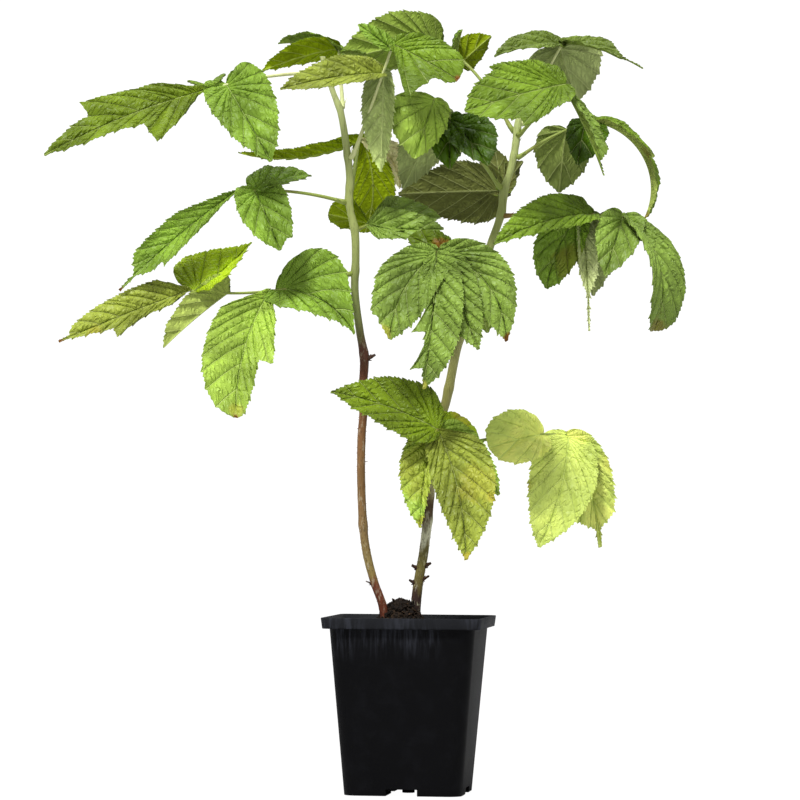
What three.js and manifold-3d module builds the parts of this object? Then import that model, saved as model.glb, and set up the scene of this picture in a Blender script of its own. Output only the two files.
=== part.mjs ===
// A young potted raspberry: two canes, their compound leaves, the compost and the nursery pot.
// Millimetres, +Z up, origin in the middle of the pot's underside; the front of the plant looks to -Y.
import * as THREE from "three";
import { mergeVertices } from "three/addons/utils/BufferGeometryUtils.js";
import Module from "manifold-3d";

const wasm = await Module();
wasm.setup();

// ---------------------------------------------------------------- driving dimensions
const CLEARANCE = 0.3;            // air between any two parts
const DEGREE = Math.PI / 180;

const POT = {
  turn: -7,                       // degrees the pot is turned under the plant
  height: 154,
  rimWidth: 140,
  rimHeight: 9.5,
  rimLean: 2.4,                   // how much wider the lip is at its top than at its lower edge
  bodyTop: 127,                   // width just under the lip
  bodyFoot: 103,
  cornerRadius: 13,
  rimCorner: 9,
  wall: 1.8,
  floorTop: 9.6,
  footFloor: 2.4,                 // plastic left under the hollow feet
  channelWidth: 27,
  channelHeight: 7,
  studDiameter: 11,
  drainLength: 16,
  drainWidth: 5,
};

const SOIL = {
  level: 146.5,
  mound: { x: -8, y: 2, width: 44, depth: 38, rise: 20 },
  crumbs: 7,
};

const PETIOLE = { base: 1.7, end: 0.8, sides: 5, rings: 5 };
const LEAFLET = {
  rowPitch: 13,                   // length of blade a row of facets covers
  rowTurn: 18,                    // degrees of arch that earn one more row
  fewestRows: 6,
  mostRows: 17,
  slimmest: 1.0,                  // blade thickness, or a share of the length where that is more
  slenderness: 84,
  stalk: 0.8,                     // half width where the blade leaves the stalk
  rib: 1.7,                       // how late the side veins leave the midrib
  sunk: 1.6,                      // how far a blade's foot is buried in the stalk
  tailHalf: 0.06,                 // half the width of a drawn-out tail, as a share of half the blade
};

const CANE_SIDES = 9;
const CANE_RINGS = 26;
const FACET = 0.94;               // a faceted cane's flat-to-centre size over its corner radius
const CANE_FOOT = 118;            // how deep in the compost a cane starts

// Centre line of each cane: across, away from the front, up, radius.
const LEFT_CANE = [
  [-16, -3, 118, 4.2],
  [-23.5, -4, 163, 3.9],
  [-31, -5, 184, 3.75],
  [-37.5, -5, 208, 3.7],
  [-41, -6, 233, 3.7],
  [-43, -7, 273, 3.6],
  [-43, -8, 308, 3.6],
  [-41.5, -9, 334, 3.6],
  [-42, -9.5, 354, 3.7],
  [-41, -10, 380, 3.9],
  [-45, -11, 403, 3.5],
  [-49.5, -12, 438, 3.4],
  [-49, -13, 470, 3.4],
  [-50, -13.5, 491, 3.5],
  [-55, -14, 515, 3.3],
  [-54.5, -14.7, 534, 3.3],
  [-56, -15, 552, 3.2],
  [-63, -16, 595, 3.0],
  [-70, -17, 613, 2.6],
  [-79, -18, 643, 2.4],
];
const RIGHT_CANE = [
  [3, 6, 118, 4.8],
  [5.5, 8, 163, 4.5],
  [8, 9, 186, 4.3],
  [12, 9.5, 209, 4.2],
  [15.5, 10.5, 240, 4.2],
  [17.5, 11.5, 271, 4.2],
  [19.5, 12.5, 291, 4.2],
  [25, 13.5, 323, 4.2],
  [31, 14, 343, 4.2],
  [40, 15.5, 388, 4.0],
  [46, 16, 406, 3.9],
  [70.5, 18.5, 484, 3.7],
  [78.5, 19, 508, 3.6],
  [81.5, 20, 531, 3.5],
  [86.5, 20.5, 546, 3.2],
  [90.5, 21, 565, 3.0],
  [93, 22, 587, 2.6],
  [95, 23, 604, 2.2],
];

// Old buds and pruning snags: height, compass side, reach, radius.
const LEFT_SNAGS = [
  { up: 182, side: 180, reach: 5, radius: 1.0 },
  { up: 379, side: 350, reach: 7, radius: 1.9 },
];
const RIGHT_SNAGS = [
  { up: 183, side: 200, reach: 5, radius: 1.7 },
  { up: 186, side: 340, reach: 6, radius: 1.6 },
  { up: 196, side: 190, reach: 4.5, radius: 2.0 },
  { up: 198, side: 350, reach: 5, radius: 2.0 },
];

// ---------------------------------------------------------------- the compound leaves
// A leaf leaves its cane at height `up` on compass side `side` (0 right, 90 back, 180 left, 270 front).
// Its stalk runs `length` mm along heading/rise (degrees), humped by `bow` mm.
// Each leaflet starts part way `at` the stalk and runs `length` mm to its tip along heading/rise.
// Its upper face looks to `faces` [heading, rise]; it arches over by `arch` degrees and folds up by
// `fold` degrees a side. `veer` bows the midrib sideways, `skew` shares the width unevenly, `belly`
// puts the broadest part towards the foot (above 0) or the tip, `cordate` draws the basal ears back
// past the stalk, `neck` narrows the foot over that share of the length and `tail` the tip.
// A lobe [side, at, out, run, fall] is a point of the margin at a share of the length; it stands
// `out` half widths beyond the edge, and rises and drops over the shares `run` and `fall`.
const LEAVES = [
  {
    name: "leaf_left_top",
    cane: LEFT_CANE,
    up: 629, side: 193, heading: 193, rise: -10, length: 107, bow: 4,
    leaflets: [
      { at: 1, length: 156, width: 44, heading: 197, rise: -23, faces: [285, 45],
        arch: 4, fold: 10, lobes: [[1, 0.64, 0.7, 0.3, 0.02], [-1, 0.42, 1.35, 0.32, 0.02]],
        neck: 0.25, skew: 0.08, belly: 0.3, veer: 5 },
      { at: 0.82, length: 87, width: 62, heading: 323, rise: -54, faces: [268, 18],
        arch: 14, fold: 14, cordate: 0.5, skew: -0.14, belly: 0.4 },
      { at: 0.94, length: 71, width: 38, heading: 98, rise: 4, faces: [200, 75],
        arch: 6, fold: 25 },
    ],
  },
  {
    name: "leaf_left_crown",
    cane: LEFT_CANE,
    up: 598, side: 50, heading: 106, rise: 74, length: 56, bow: -2,
    leaflets: [
      { at: 1, length: 73, width: 34, heading: 167, rise: -15, faces: [100, 50],
        arch: 18, fold: 15 },
      { at: 0.97, length: 67, width: 28, heading: 147, rise: 8, faces: [80, 75],
        arch: 25, fold: 20 },
      { at: 0.94, length: 44, width: 36, heading: 70, rise: -8, faces: [30, 60],
        arch: 25, fold: 20 },
    ],
  },
  {
    name: "leaf_fork",
    cane: LEFT_CANE,
    up: 554, side: 318, heading: 318, rise: 64, length: 108, bow: -2,
    leaflets: [
      { at: 1, length: 68, width: 42, heading: 346, rise: -29, faces: [275, 32],
        arch: 8, fold: 10, lobes: [[1, 0.62, 1.75, 0.46, 0.12]], skew: -0.3, belly: -0.2 },
      { at: 0.76, length: 93, width: 38, heading: 190, rise: -10, faces: [275, 38],
        arch: 22, fold: 25 },
      { at: 0.78, length: 89, width: 46, heading: 102, rise: -84, faces: [92, 4],
        arch: 10, fold: 15 },
      { at: 0.96, length: 41, width: 18, heading: 154, rise: 35, faces: [250, 30],
        arch: 10, fold: 25 },
    ],
  },
  {
    name: "leaf_left_mid",
    cane: LEFT_CANE,
    up: 516, side: 191, heading: 191, rise: 4, length: 97, bow: 5,
    leaflets: [
      { at: 1, length: 134, width: 35, heading: 188, rise: -41, faces: [282, 38],
        arch: 10, fold: 30, lobes: [[-1, 0.66, 0.35, 0.3, 0.02]], neck: 0.4, belly: -0.1,
        tail: 0.24, veer: 2 },
      { at: 0.82, length: 68, width: 54, heading: 306, rise: -54, faces: [270, 25],
        arch: 14, fold: 20, lobes: [[-1, 0.88, 0.15, 0.2, 0.02]], cordate: 0.34, belly: 0.2 },
      { at: 0.8, length: 66, width: 40, heading: 43, rise: 14, faces: [280, 62],
        arch: 25, fold: 18, cordate: 0.3 },
    ],
  },
  {
    name: "leaf_left_rear",
    cane: LEFT_CANE,
    up: 527, side: 70, heading: 83, rise: 43, length: 75, bow: 0,
    leaflets: [
      { at: 1, length: 87, width: 42, heading: 53, rise: -84, faces: [80, 12],
        arch: 8, fold: 8, veer: 9, belly: -0.3 },
      { at: 0.9, length: 119, width: 25, heading: 158, rise: -4, faces: [90, 62],
        arch: -44, fold: 20 },
      { at: 0.94, length: 70, width: 38, heading: 49, rise: -36, faces: [270, 10],
        arch: 14, fold: 18 },
    ],
  },
  {
    name: "leaf_left_node",
    cane: LEFT_CANE,
    up: 492, side: 75, heading: 50, rise: 17, length: 21, bow: 0,
    leaflets: [
      { at: 1, length: 65, width: 50, heading: 13, rise: 6, faces: [270, 40],
        arch: 6, fold: 20 },
      { at: 0.9, length: 39, width: 40, heading: 174, rise: 14, faces: [90, 45],
        arch: 8, fold: 12, belly: -0.1 },
      { at: 0.8, length: 69, width: 40, heading: 353, rise: -3, faces: [268, 35],
        arch: 6, fold: 20, veer: 4 },
    ],
  },
  {
    name: "leaf_left_low",
    cane: LEFT_CANE,
    up: 454, side: 191, heading: 191, rise: -7, length: 143, bow: -8,
    leaflets: [
      { at: 1, length: 124, width: 36, heading: 189, rise: -22, faces: [285, 42],
        arch: 5, fold: 14, lobes: [[-1, 0.6, 0.8, 0.2, 0.02]], neck: 0.2, skew: 0.25, belly: 0.3,
        tail: 0.14 },
      { at: 0.97, length: 75, width: 52, heading: 34, rise: 37, faces: [250, 52],
        arch: -22, fold: 20, skew: -0.2, belly: 0.85, cordate: 0.25 },
      { at: 0.76, length: 81, width: 44, heading: 210, rise: -38, faces: [165, 15],
        arch: 10, fold: 45, cordate: 0.5 },
      { at: 0.5, length: 133, width: 57, heading: 247, rise: -58, faces: [268, 14],
        arch: 12, fold: 14, lobes: [[-1, 0.57, 0.45, 0.5, 0.02]], veer: 8, skew: 0.38, belly: -0.1,
        neck: 0.25 },
      { at: 0.46, length: 81, width: 66, heading: 348, rise: -29, faces: [280, 26],
        arch: 10, fold: 14, veer: -12, skew: -0.3, cordate: 0.28, belly: 0.75 },
    ],
  },
  {
    name: "leaf_top",
    cane: RIGHT_CANE,
    up: 581, side: 150, heading: 150, rise: 46, length: 110, bow: 14,
    leaflets: [
      { at: 1, length: 97, width: 62, heading: 167, rise: -9, faces: [95, 22],
        arch: 12, fold: 14, veer: -5, skew: -0.12, cordate: 0.36 },
      { at: 0.66, length: 40, width: 34, heading: 33, rise: 39, faces: [80, 35],
        arch: 10, fold: 15 },
      { at: 0.74, length: 30, width: 18, heading: 284, rise: 52, faces: [190, 20],
        arch: 12, fold: 30 },
    ],
  },
  {
    name: "leaf_mid",
    cane: RIGHT_CANE,
    up: 531, side: 210, heading: 210, rise: 48, length: 101, bow: 3,
    leaflets: [
      { at: 1, length: 57, width: 60, heading: 199, rise: -71, faces: [272, 28],
        arch: 14, fold: 16, skew: 0.28, belly: 0.35, cordate: 0.08 },
      { at: 0.76, length: 52, width: 38, heading: 270, rise: -65, faces: [255, 15],
        arch: 14, fold: 22, cordate: 0.3, belly: 0.1 },
      { at: 0.68, length: 56, width: 52, heading: 315, rise: -43, faces: [285, 18],
        arch: 14, fold: 18, cordate: 0.35, belly: 0.2, skew: -0.1 },
      { at: 0.88, length: 82, width: 50, heading: 145, rise: -59, faces: [95, 16],
        arch: 10, fold: 18 },
    ],
  },
  {
    name: "leaf_rear",
    cane: RIGHT_CANE,
    up: 523, side: 100, heading: 89, rise: 16, length: 29, bow: 2,
    leaflets: [
      { at: 1, length: 98, width: 64, heading: 163, rise: -1, faces: [92, 22],
        arch: 6, fold: 8, skew: 0.08 },
      { at: 0.9, length: 51, width: 30, heading: 103, rise: 55, faces: [90, 30],
        arch: 10, fold: 15 },
      { at: 0.95, length: 49, width: 30, heading: 59, rise: 37, faces: [90, 30],
        arch: 10, fold: 15 },
    ],
  },
  {
    name: "leaf_right_top",
    cane: RIGHT_CANE,
    up: 587, side: 30, heading: 3, rise: 64, length: 81, bow: 3,
    leaflets: [
      { at: 1, length: 78, width: 34, heading: 345, rise: -18, faces: [282, 66],
        arch: 30, fold: 22, tail: 0.5, belly: 0.2 },
      { at: 0.97, length: 65, width: 36, heading: 198, rise: -11, faces: [262, 55],
        arch: 34, fold: 20 },
      { at: 0.95, length: 55, width: 78, heading: 49, rise: -64, faces: [92, 12],
        arch: 12, fold: 18, cordate: 0.14 },
    ],
  },
  {
    name: "leaf_right_front",
    cane: RIGHT_CANE,
    up: 578, side: 303, heading: 303, rise: 30, length: 80, bow: 0,
    leaflets: [
      { at: 1, length: 100, width: 68, heading: 203, rise: -16, faces: [272, 30],
        arch: 12, fold: 12, lobes: [[1, 0.6, 0.12, 0.2, 0.02], [-1, 0.6, 0.3, 0.3, 0.02]],
        cordate: 0.2, belly: 0.1 },
      { at: 0.96, length: 90, width: 28, heading: 330, rise: -63, faces: [330, 25],
        arch: 12, fold: 45, neck: 0.4, belly: -0.1, tail: 0.25 },
    ],
  },
  {
    name: "leaf_right_mid",
    cane: RIGHT_CANE,
    up: 558, side: 349, heading: 349, rise: 26, length: 71, bow: 4,
    leaflets: [
      { at: 1, length: 99, width: 26, heading: 10, rise: -60, faces: [335, 44],
        arch: 116, fold: 30, lobes: [[1, 0.5, 1.3, 0.2, 0.02]], belly: 0.1 },
      { at: 0.66, length: 57, width: 56, heading: 118, rise: -78, faces: [92, 8],
        arch: 10, fold: 14, cordate: 0.2 },
      { at: 0.92, length: 46, width: 42, heading: 252, rise: -59, faces: [275, 22],
        arch: 16, fold: 20, skew: -0.2 },
    ],
  },
  {
    name: "leaf_right_low",
    cane: RIGHT_CANE,
    up: 507, side: 349, heading: 349, rise: -1, length: 108, bow: 2,
    leaflets: [
      { at: 1, length: 104, width: 54, heading: 334, rise: -75, faces: [318, 24],
        arch: 92, fold: 14, belly: -0.2 },
      { at: 0.72, length: 109, width: 48, heading: 212, rise: -16, faces: [275, 48],
        arch: 34, fold: 20 },
      { at: 0.6, length: 73, width: 50, heading: 188, rise: -67, faces: [268, 12],
        arch: 14, fold: 18, veer: 4, belly: 0.1 },
      { at: 0.64, length: 106, width: 22, heading: 289, rise: -81, faces: [285, 15],
        arch: 8, fold: 30, tail: 0.5, belly: 0.3 },
      { at: 0.78, length: 79, width: 44, heading: 97, rise: -64, faces: [92, 8],
        arch: 8, fold: 14 },
      { at: 0.97, length: 64, width: 46, heading: 239, rise: -59, faces: [268, 22],
        arch: 16, fold: 18, cordate: 0.3, skew: -0.1 },
    ],
  },
  {
    name: "leaf_low_right",
    cane: RIGHT_CANE,
    up: 300, side: 10, heading: 10, rise: 7, length: 116, bow: 5,
    leaflets: [
      { at: 1, length: 107, width: 67, heading: 224, rise: -70, faces: [268, 14],
        arch: 12, fold: 12, veer: -6, belly: 0.3, cordate: 0.14 },
      { at: 0.8, length: 56, width: 60, heading: 206, rise: -13, faces: [275, 24],
        arch: 16, fold: 14, cordate: 0.16, belly: -0.1 },
      { at: 0.98, length: 106, width: 54, heading: 12, rise: -72, faces: [262, 14],
        arch: 12, fold: 14, veer: -6, cordate: 0.16, tail: 0.26 },
    ],
  },
  {
    name: "leaf_centre",
    cane: RIGHT_CANE,
    up: 466, side: 255, heading: 243, rise: 2, length: 94, bow: 2,
    leaflets: [
      { at: 1, length: 124, width: 36, heading: 250, rise: -75, faces: [268, 13],
        arch: 12, fold: 12, lobes: [[1, 0.59, 0.6, 0.1, 0.02], [1, 0.84, 0.55, 0.12, 0.02]],
        veer: -2, skew: -0.7, belly: 0.05 },
      { at: 0.95, length: 91, width: 60, heading: 208, rise: -58, faces: [266, 13],
        arch: 12, fold: 12, lobes: [[1, 0.84, 0.12, 0.2, 0.02]], veer: 10, cordate: 0.2,
        belly: 0.1 },
      { at: 0.97, length: 96, width: 46, heading: 325, rise: -63, faces: [268, 13],
        arch: 12, fold: 12 },
      { at: 0.93, length: 99, width: 56, heading: 344, rise: -52, faces: [270, 13],
        arch: 12, fold: 12, veer: -16, cordate: 0.2 },
      { at: 0.82, length: 44, width: 34, heading: 143, rise: 21, faces: [268, 40],
        arch: 10, fold: 15 },
    ],
  },
  {
    name: "leaf_back_low",
    cane: RIGHT_CANE,
    up: 432, side: 95, heading: 88, rise: 18, length: 63, bow: 6,
    leaflets: [
      { at: 1, length: 57, width: 44, heading: 66, rise: -54, faces: [90, 40],
        arch: 18, fold: 16 },
      { at: 0.96, length: 42, width: 42, heading: 141, rise: -50, faces: [110, 40],
        arch: 16, fold: 16 },
      { at: 0.94, length: 39, width: 34, heading: 51, rise: -9, faces: [80, 45],
        arch: 16, fold: 16 },
    ],
  },
  {
    name: "leaf_back_top",
    cane: RIGHT_CANE,
    up: 569, side: 75, heading: 88, rise: 42, length: 79, bow: 6,
    leaflets: [
      { at: 1, length: 51, width: 42, heading: 80, rise: -18, faces: [90, 45],
        arch: 18, fold: 16 },
      { at: 0.96, length: 30, width: 36, heading: 141, rise: -16, faces: [110, 45],
        arch: 16, fold: 16 },
      { at: 0.94, length: 39, width: 34, heading: 37, rise: 0, faces: [70, 45],
        arch: 16, fold: 16 },
    ],
  },
  {
    name: "leaf_low",
    cane: RIGHT_CANE,
    up: 312, side: 262, heading: 271, rise: 4, length: 65, bow: 3,
    leaflets: [
      { at: 1, length: 121, width: 60, heading: 305, rise: -69, faces: [268, 12],
        arch: 12, fold: 12, veer: -6, skew: -0.27, neck: 0.12, cordate: 0 },
      { at: 0.97, length: 100, width: 60, heading: 185, rise: 19, faces: [272, 34],
        arch: 10, fold: 12, veer: 4, skew: 0.04, cordate: 0.08, belly: 0.6 },
      { at: 0.9, length: 91, width: 42, heading: 239, rise: -72, faces: [262, 12],
        arch: 10, fold: 12, veer: 4, skew: 0.2 },
      { at: 0.87, length: 80, width: 46, heading: 349, rise: -46, faces: [272, 16],
        arch: 12, fold: 12 },
      { at: 0.75, length: 42, width: 38, heading: 26, rise: -8, faces: [292, 46],
        arch: 22, fold: 16 },
    ],
  },
];

// ---------------------------------------------------------------- small helpers
const solidOf = (geometry) => {
  const bare = geometry.clone();
  bare.deleteAttribute("normal");
  bare.deleteAttribute("uv");
  const welded = mergeVertices(bare, 1e-4);
  return new wasm.Manifold(new wasm.Mesh({
    numProp: 3,
    vertProperties: new Float32Array(welded.attributes.position.array),
    triVerts: new Uint32Array(welded.index.array),
  }));
};

const geometryOf = (solid) => {
  const mesh = solid.getMesh();
  const geometry = new THREE.BufferGeometry();
  geometry.setAttribute("position", new THREE.BufferAttribute(new Float32Array(mesh.vertProperties), 3));
  geometry.setIndex(new THREE.BufferAttribute(new Uint32Array(mesh.triVerts), 1));
  return geometry;
};

const join = (solids) => solids.reduce((all, one) => all.add(one));

// One body without pockets sealed inside it or crumbs beside it.
const wholeBody = (solid) => solid.decompose().reduce(
  (best, one) => (one.volume() > best.volume() ? one : best),
);

const shaped = (geometry, place) => {
  const spots = geometry.attributes.position;
  const spot = new THREE.Vector3();
  for (let i = 0; i < spots.count; i += 1) {
    spot.fromBufferAttribute(spots, i);
    const moved = place(spot);
    spots.setXYZ(i, moved.x, moved.y, moved.z);
  }
  return geometry;
};

const direction = (heading, rise) => new THREE.Vector3(
  Math.cos(rise * DEGREE) * Math.cos(heading * DEGREE),
  Math.cos(rise * DEGREE) * Math.sin(heading * DEGREE),
  Math.sin(rise * DEGREE),
);

const UP = new THREE.Vector3(0, 0, 1);

// ---------------------------------------------------------------- canes
const caneAt = (path, height) => {
  const last = path.length - 1;
  let i = 0;
  while (i < last - 1 && height > path[i + 1][2]) {
    i += 1;
  }
  const low = path[i];
  const high = path[i + 1];
  const span = high[2] - low[2];
  const t = Math.min(Math.max((height - low[2]) / span, 0), 1);
  const slope = (k, axis) => {
    const before = path[Math.max(k - 1, 0)];
    const after = path[Math.min(k + 1, last)];
    return ((after[axis] - before[axis]) / (after[2] - before[2])) * span;
  };
  const blend = (axis) => (2 * t ** 3 - 3 * t ** 2 + 1) * low[axis]
    + (t ** 3 - 2 * t ** 2 + t) * slope(i, axis)
    + (3 * t ** 2 - 2 * t ** 3) * high[axis]
    + (t ** 3 - t ** 2) * slope(i + 1, axis);
  return { x: blend(0), y: blend(1), radius: blend(3) };
};

const caneGeometry = (path, foot, top, extra) => shaped(
  new THREE.CylinderGeometry(1, 1, 1, CANE_SIDES, CANE_RINGS),
  (p) => {
    const height = foot + (top - foot) * (p.y + 0.5);
    const here = caneAt(path, height);
    const radius = here.radius + extra;
    return new THREE.Vector3(here.x + p.x * radius, here.y - p.z * radius, height);
  },
);

const snagSolid = (path, snag) => {
  const here = caneAt(path, snag.up);
  const out = direction(snag.side, 25);
  const peg = new THREE.CylinderGeometry(snag.radius * 0.55, snag.radius, snag.reach + here.radius, 7);
  peg.translate(0, (snag.reach + here.radius) / 2, 0);
  peg.applyQuaternion(new THREE.Quaternion().setFromUnitVectors(new THREE.Vector3(0, 1, 0), out));
  peg.translate(here.x, here.y, snag.up);
  return solidOf(peg);
};

const caneSolid = (path, snags) => {
  const top = path[path.length - 1][2];
  const stem = solidOf(caneGeometry(path, CANE_FOOT, top, 0));
  return join([stem, ...snags.map((snag) => snagSolid(path, snag))]);
};

// ---------------------------------------------------------------- leaves
// Where a stalk starts: its end face keeps CLEARANCE from the skin of the cane.
const stalkStart = (path, leaf, run) => {
  const here = caneAt(path, leaf.up);
  const side = direction(leaf.side, 0);
  const along = run.clone().addScaledVector(UP, 4 * leaf.bow).normalize();
  const across = new THREE.Vector3().crossVectors(along, UP).normalize();
  const upward = new THREE.Vector3().crossVectors(across, along);
  let reach = here.radius + CLEARANCE;
  for (let pass = 0; pass < 6; pass += 1) {
    let nearest = Infinity;
    for (let k = 0; k < PETIOLE.sides; k += 1) {
      const angle = (k / PETIOLE.sides) * 2 * Math.PI;
      const point = new THREE.Vector3(here.x, here.y, leaf.up)
        .addScaledVector(side, reach)
        .addScaledVector(across, Math.sin(angle) * PETIOLE.base)
        .addScaledVector(upward, Math.cos(angle) * PETIOLE.base);
      const level = caneAt(path, point.z);
      nearest = Math.min(nearest, Math.hypot(point.x - level.x, point.y - level.y) - level.radius * FACET);
    }
    reach += CLEARANCE - nearest;
  }
  return new THREE.Vector3(here.x, here.y, leaf.up).addScaledVector(side, reach);
};

const stalkLine = (path, leaf) => {
  const run = direction(leaf.heading, leaf.rise).multiplyScalar(leaf.length);
  const start = stalkStart(path, leaf, run);
  return (t) => start.clone().addScaledVector(run, t).addScaledVector(UP, leaf.bow * 4 * t * (1 - t));
};

const stalkSolid = (line) => solidOf(shaped(
  new THREE.CylinderGeometry(1, 1, 1, PETIOLE.sides, PETIOLE.rings),
  (p) => {
    const t = p.y + 0.5;
    const ahead = line(Math.min(t + 0.01, 1)).sub(line(Math.max(t - 0.01, 0))).normalize();
    const across = new THREE.Vector3().crossVectors(ahead, UP).normalize();
    const upward = new THREE.Vector3().crossVectors(across, ahead);
    const radius = PETIOLE.end + (PETIOLE.base - PETIOLE.end) * (1 - t) ** 2;
    return line(t).addScaledVector(across, p.x * radius).addScaledVector(upward, p.z * radius);
  },
));

// The row, from 0 at the foot to 1 at the tip, that lies at a share of the length.
const rowOf = (share) => Math.acos(1 - 2 * Math.min(Math.max(share, 0), 1)) / Math.PI;

// How far a lobe of the margin stands out at row t, from 0 to 1 at its point.
const lobeRise = (at, run, fall, t) => {
  const point = rowOf(at);
  if (t <= point) {
    return Math.max(0, 1 - (point - t) / (point - rowOf(at - run))) ** 1.15;
  }
  return Math.max(0, 1 - (t - point) / (rowOf(at + fall) - point));
};

// Half the width and the forward reach of a leaflet's edge, both as fractions, at row t of side s.
const edgeAt = (leaflet, t, side) => {
  const { lobes = [], belly = 0.35, cordate = 0.1, skew = 0, neck = 0, tail = 0 } = leaflet;
  const turn = Math.PI * t;
  const blunt = belly > 0 ? 1 + 0.9 * t * t : 0.8;
  let half = 0.86 * Math.sin(turn) ** blunt * (1 + belly * Math.cos(turn)) * (1 + skew * side);
  let reach = (1 - Math.cos(turn)) / 2 - cordate * Math.sin(turn) * (1 - t) ** 3;
  if (neck > 0) {
    half *= Math.min(Math.max(reach, 0) / neck, 1) ** 0.7;
  }
  for (const [lobeSide, at, out, run, fall] of lobes) {
    const rise = lobeSide === side ? lobeRise(at, run, fall, t) : 0;
    half += out * rise;
    reach += 0.03 * rise;
  }
  if (tail > 0) {
    const into = THREE.MathUtils.smoothstep(reach, 1 - tail, 1 - tail / 2);
    half += (Math.min(half, LEAFLET.tailHalf) - half) * into;
  }
  return { half, reach };
};

// The rows of a leaflet from foot to tip, evenly spread and drawn to the points of its lobes.
const rowsAlong = (leaflet, count) => {
  const rows = Array.from({ length: count + 1 }, (_, k) => k / count);
  const points = (leaflet.lobes || []).map(([, at, , , fall]) => [rowOf(at), rowOf(at + fall)]);
  points.sort((one, other) => one[0] - other[0]);
  let taken = 0;
  for (const [point, end] of points) {
    const k = Math.min(Math.max(Math.round(point * count), taken + 1), count - 2);
    rows[k] = point;
    rows[k + 1] = end;
    taken = k + 1;
  }
  return rows;
};

const leafletSolid = (leaflet, line) => {
  const length = leaflet.length;
  const along = direction(leaflet.heading, leaflet.rise);
  const looks = direction(leaflet.faces[0], leaflet.faces[1]);
  const face = looks.addScaledVector(along, -looks.dot(along)).normalize();
  const across = new THREE.Vector3().crossVectors(face, along);
  const arch = leaflet.arch * DEGREE;
  const start = line(leaflet.at)
    .addScaledVector(along, -LEAFLET.sunk * Math.cos(arch / 2))
    .addScaledVector(face, -LEAFLET.sunk * Math.sin(arch / 2));
  const radius = length / (2 * Math.sin(arch / 2));
  const thickness = Math.max(LEAFLET.slimmest, length / LEAFLET.slenderness);
  const fold = leaflet.fold * DEGREE;
  const lobeCount = (leaflet.lobes || []).length;
  const rows = THREE.MathUtils.clamp(
    Math.round(length / LEAFLET.rowPitch + Math.abs(leaflet.arch) / LEAFLET.rowTurn) + lobeCount,
    LEAFLET.fewestRows,
    LEAFLET.mostRows,
  );
  const rowAt = rowsAlong(leaflet, rows);
  const plate = new THREE.BoxGeometry(1, 1, 1, rows, 2, 1);
  return solidOf(shaped(plate, (p) => {
    const row = Math.round((p.x + 0.5) * rows);
    const t = rowAt[row];
    const side = p.y > 0.01 ? -1 : 1;
    const spread = Math.abs(p.y) * 2;
    const edge = edgeAt(leaflet, t, side);
    const tooth = row > 0 && row < rows ? 1 + (row % 2 === 0 ? -0.05 : 0.05) : 1;
    const width = (LEAFLET.stalk + edge.half * tooth * leaflet.width / 2) * spread;
    const foot = t ** LEAFLET.rib;
    const reach = foot + (edge.reach - foot) * spread;
    const angle = arch * (reach - 0.5);
    const forward = radius * (Math.sin(arch / 2) + Math.sin(angle));
    const lift = radius * (Math.cos(angle) - Math.cos(arch / 2));
    const outward = face.clone().multiplyScalar(Math.cos(angle)).addScaledVector(along, Math.sin(angle));
    const shift = (leaflet.veer || 0) * 4 * reach * (1 - reach);
    return start.clone()
      .addScaledVector(along, forward)
      .addScaledVector(face, lift)
      .addScaledVector(across, -Math.cos(fold) * width * side - shift)
      .addScaledVector(outward, Math.sin(fold) * width + p.z * thickness);
  }));
};

const leafSolid = (path, leaf) => {
  const line = stalkLine(path, leaf);
  return join([stalkSolid(line), ...leaf.leaflets.map((leaflet) => leafletSolid(leaflet, line))]);
};

// ---------------------------------------------------------------- pot and compost
const roundedSquare = (width, radius) => {
  const h = width / 2;
  const shape = new THREE.Shape();
  shape.moveTo(-h + radius, -h);
  shape.lineTo(h - radius, -h);
  shape.absarc(h - radius, -h + radius, radius, -Math.PI / 2, 0, false);
  shape.lineTo(h, h - radius);
  shape.absarc(h - radius, h - radius, radius, 0, Math.PI / 2, false);
  shape.lineTo(-h + radius, h);
  shape.absarc(-h + radius, h - radius, radius, Math.PI / 2, Math.PI, false);
  shape.lineTo(-h, -h + radius);
  shape.absarc(-h + radius, -h + radius, radius, Math.PI, Math.PI * 1.5, false);
  return shape;
};

// A square block with round corners whose width runs from lowWidth to highWidth.
const taperedBlock = (low, high, lowWidth, highWidth, radius) => {
  const block = new THREE.ExtrudeGeometry(roundedSquare(lowWidth, radius), {
    depth: high - low,
    bevelEnabled: false,
    curveSegments: 4,
    steps: 1,
  });
  return solidOf(shaped(block, (p) => {
    const grow = (highWidth - lowWidth) / 2 * (p.z / (high - low));
    const reachX = Math.abs(p.x) / (lowWidth / 2);
    const reachY = Math.abs(p.y) / (lowWidth / 2);
    return new THREE.Vector3(
      p.x + Math.sign(p.x) * grow * reachX,
      p.y + Math.sign(p.y) * grow * reachY,
      p.z + low,
    );
  }));
};

const bodyWidth = (height) => POT.bodyFoot
  + (POT.bodyTop - POT.bodyFoot) * (height / (POT.height - POT.rimHeight));

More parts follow.
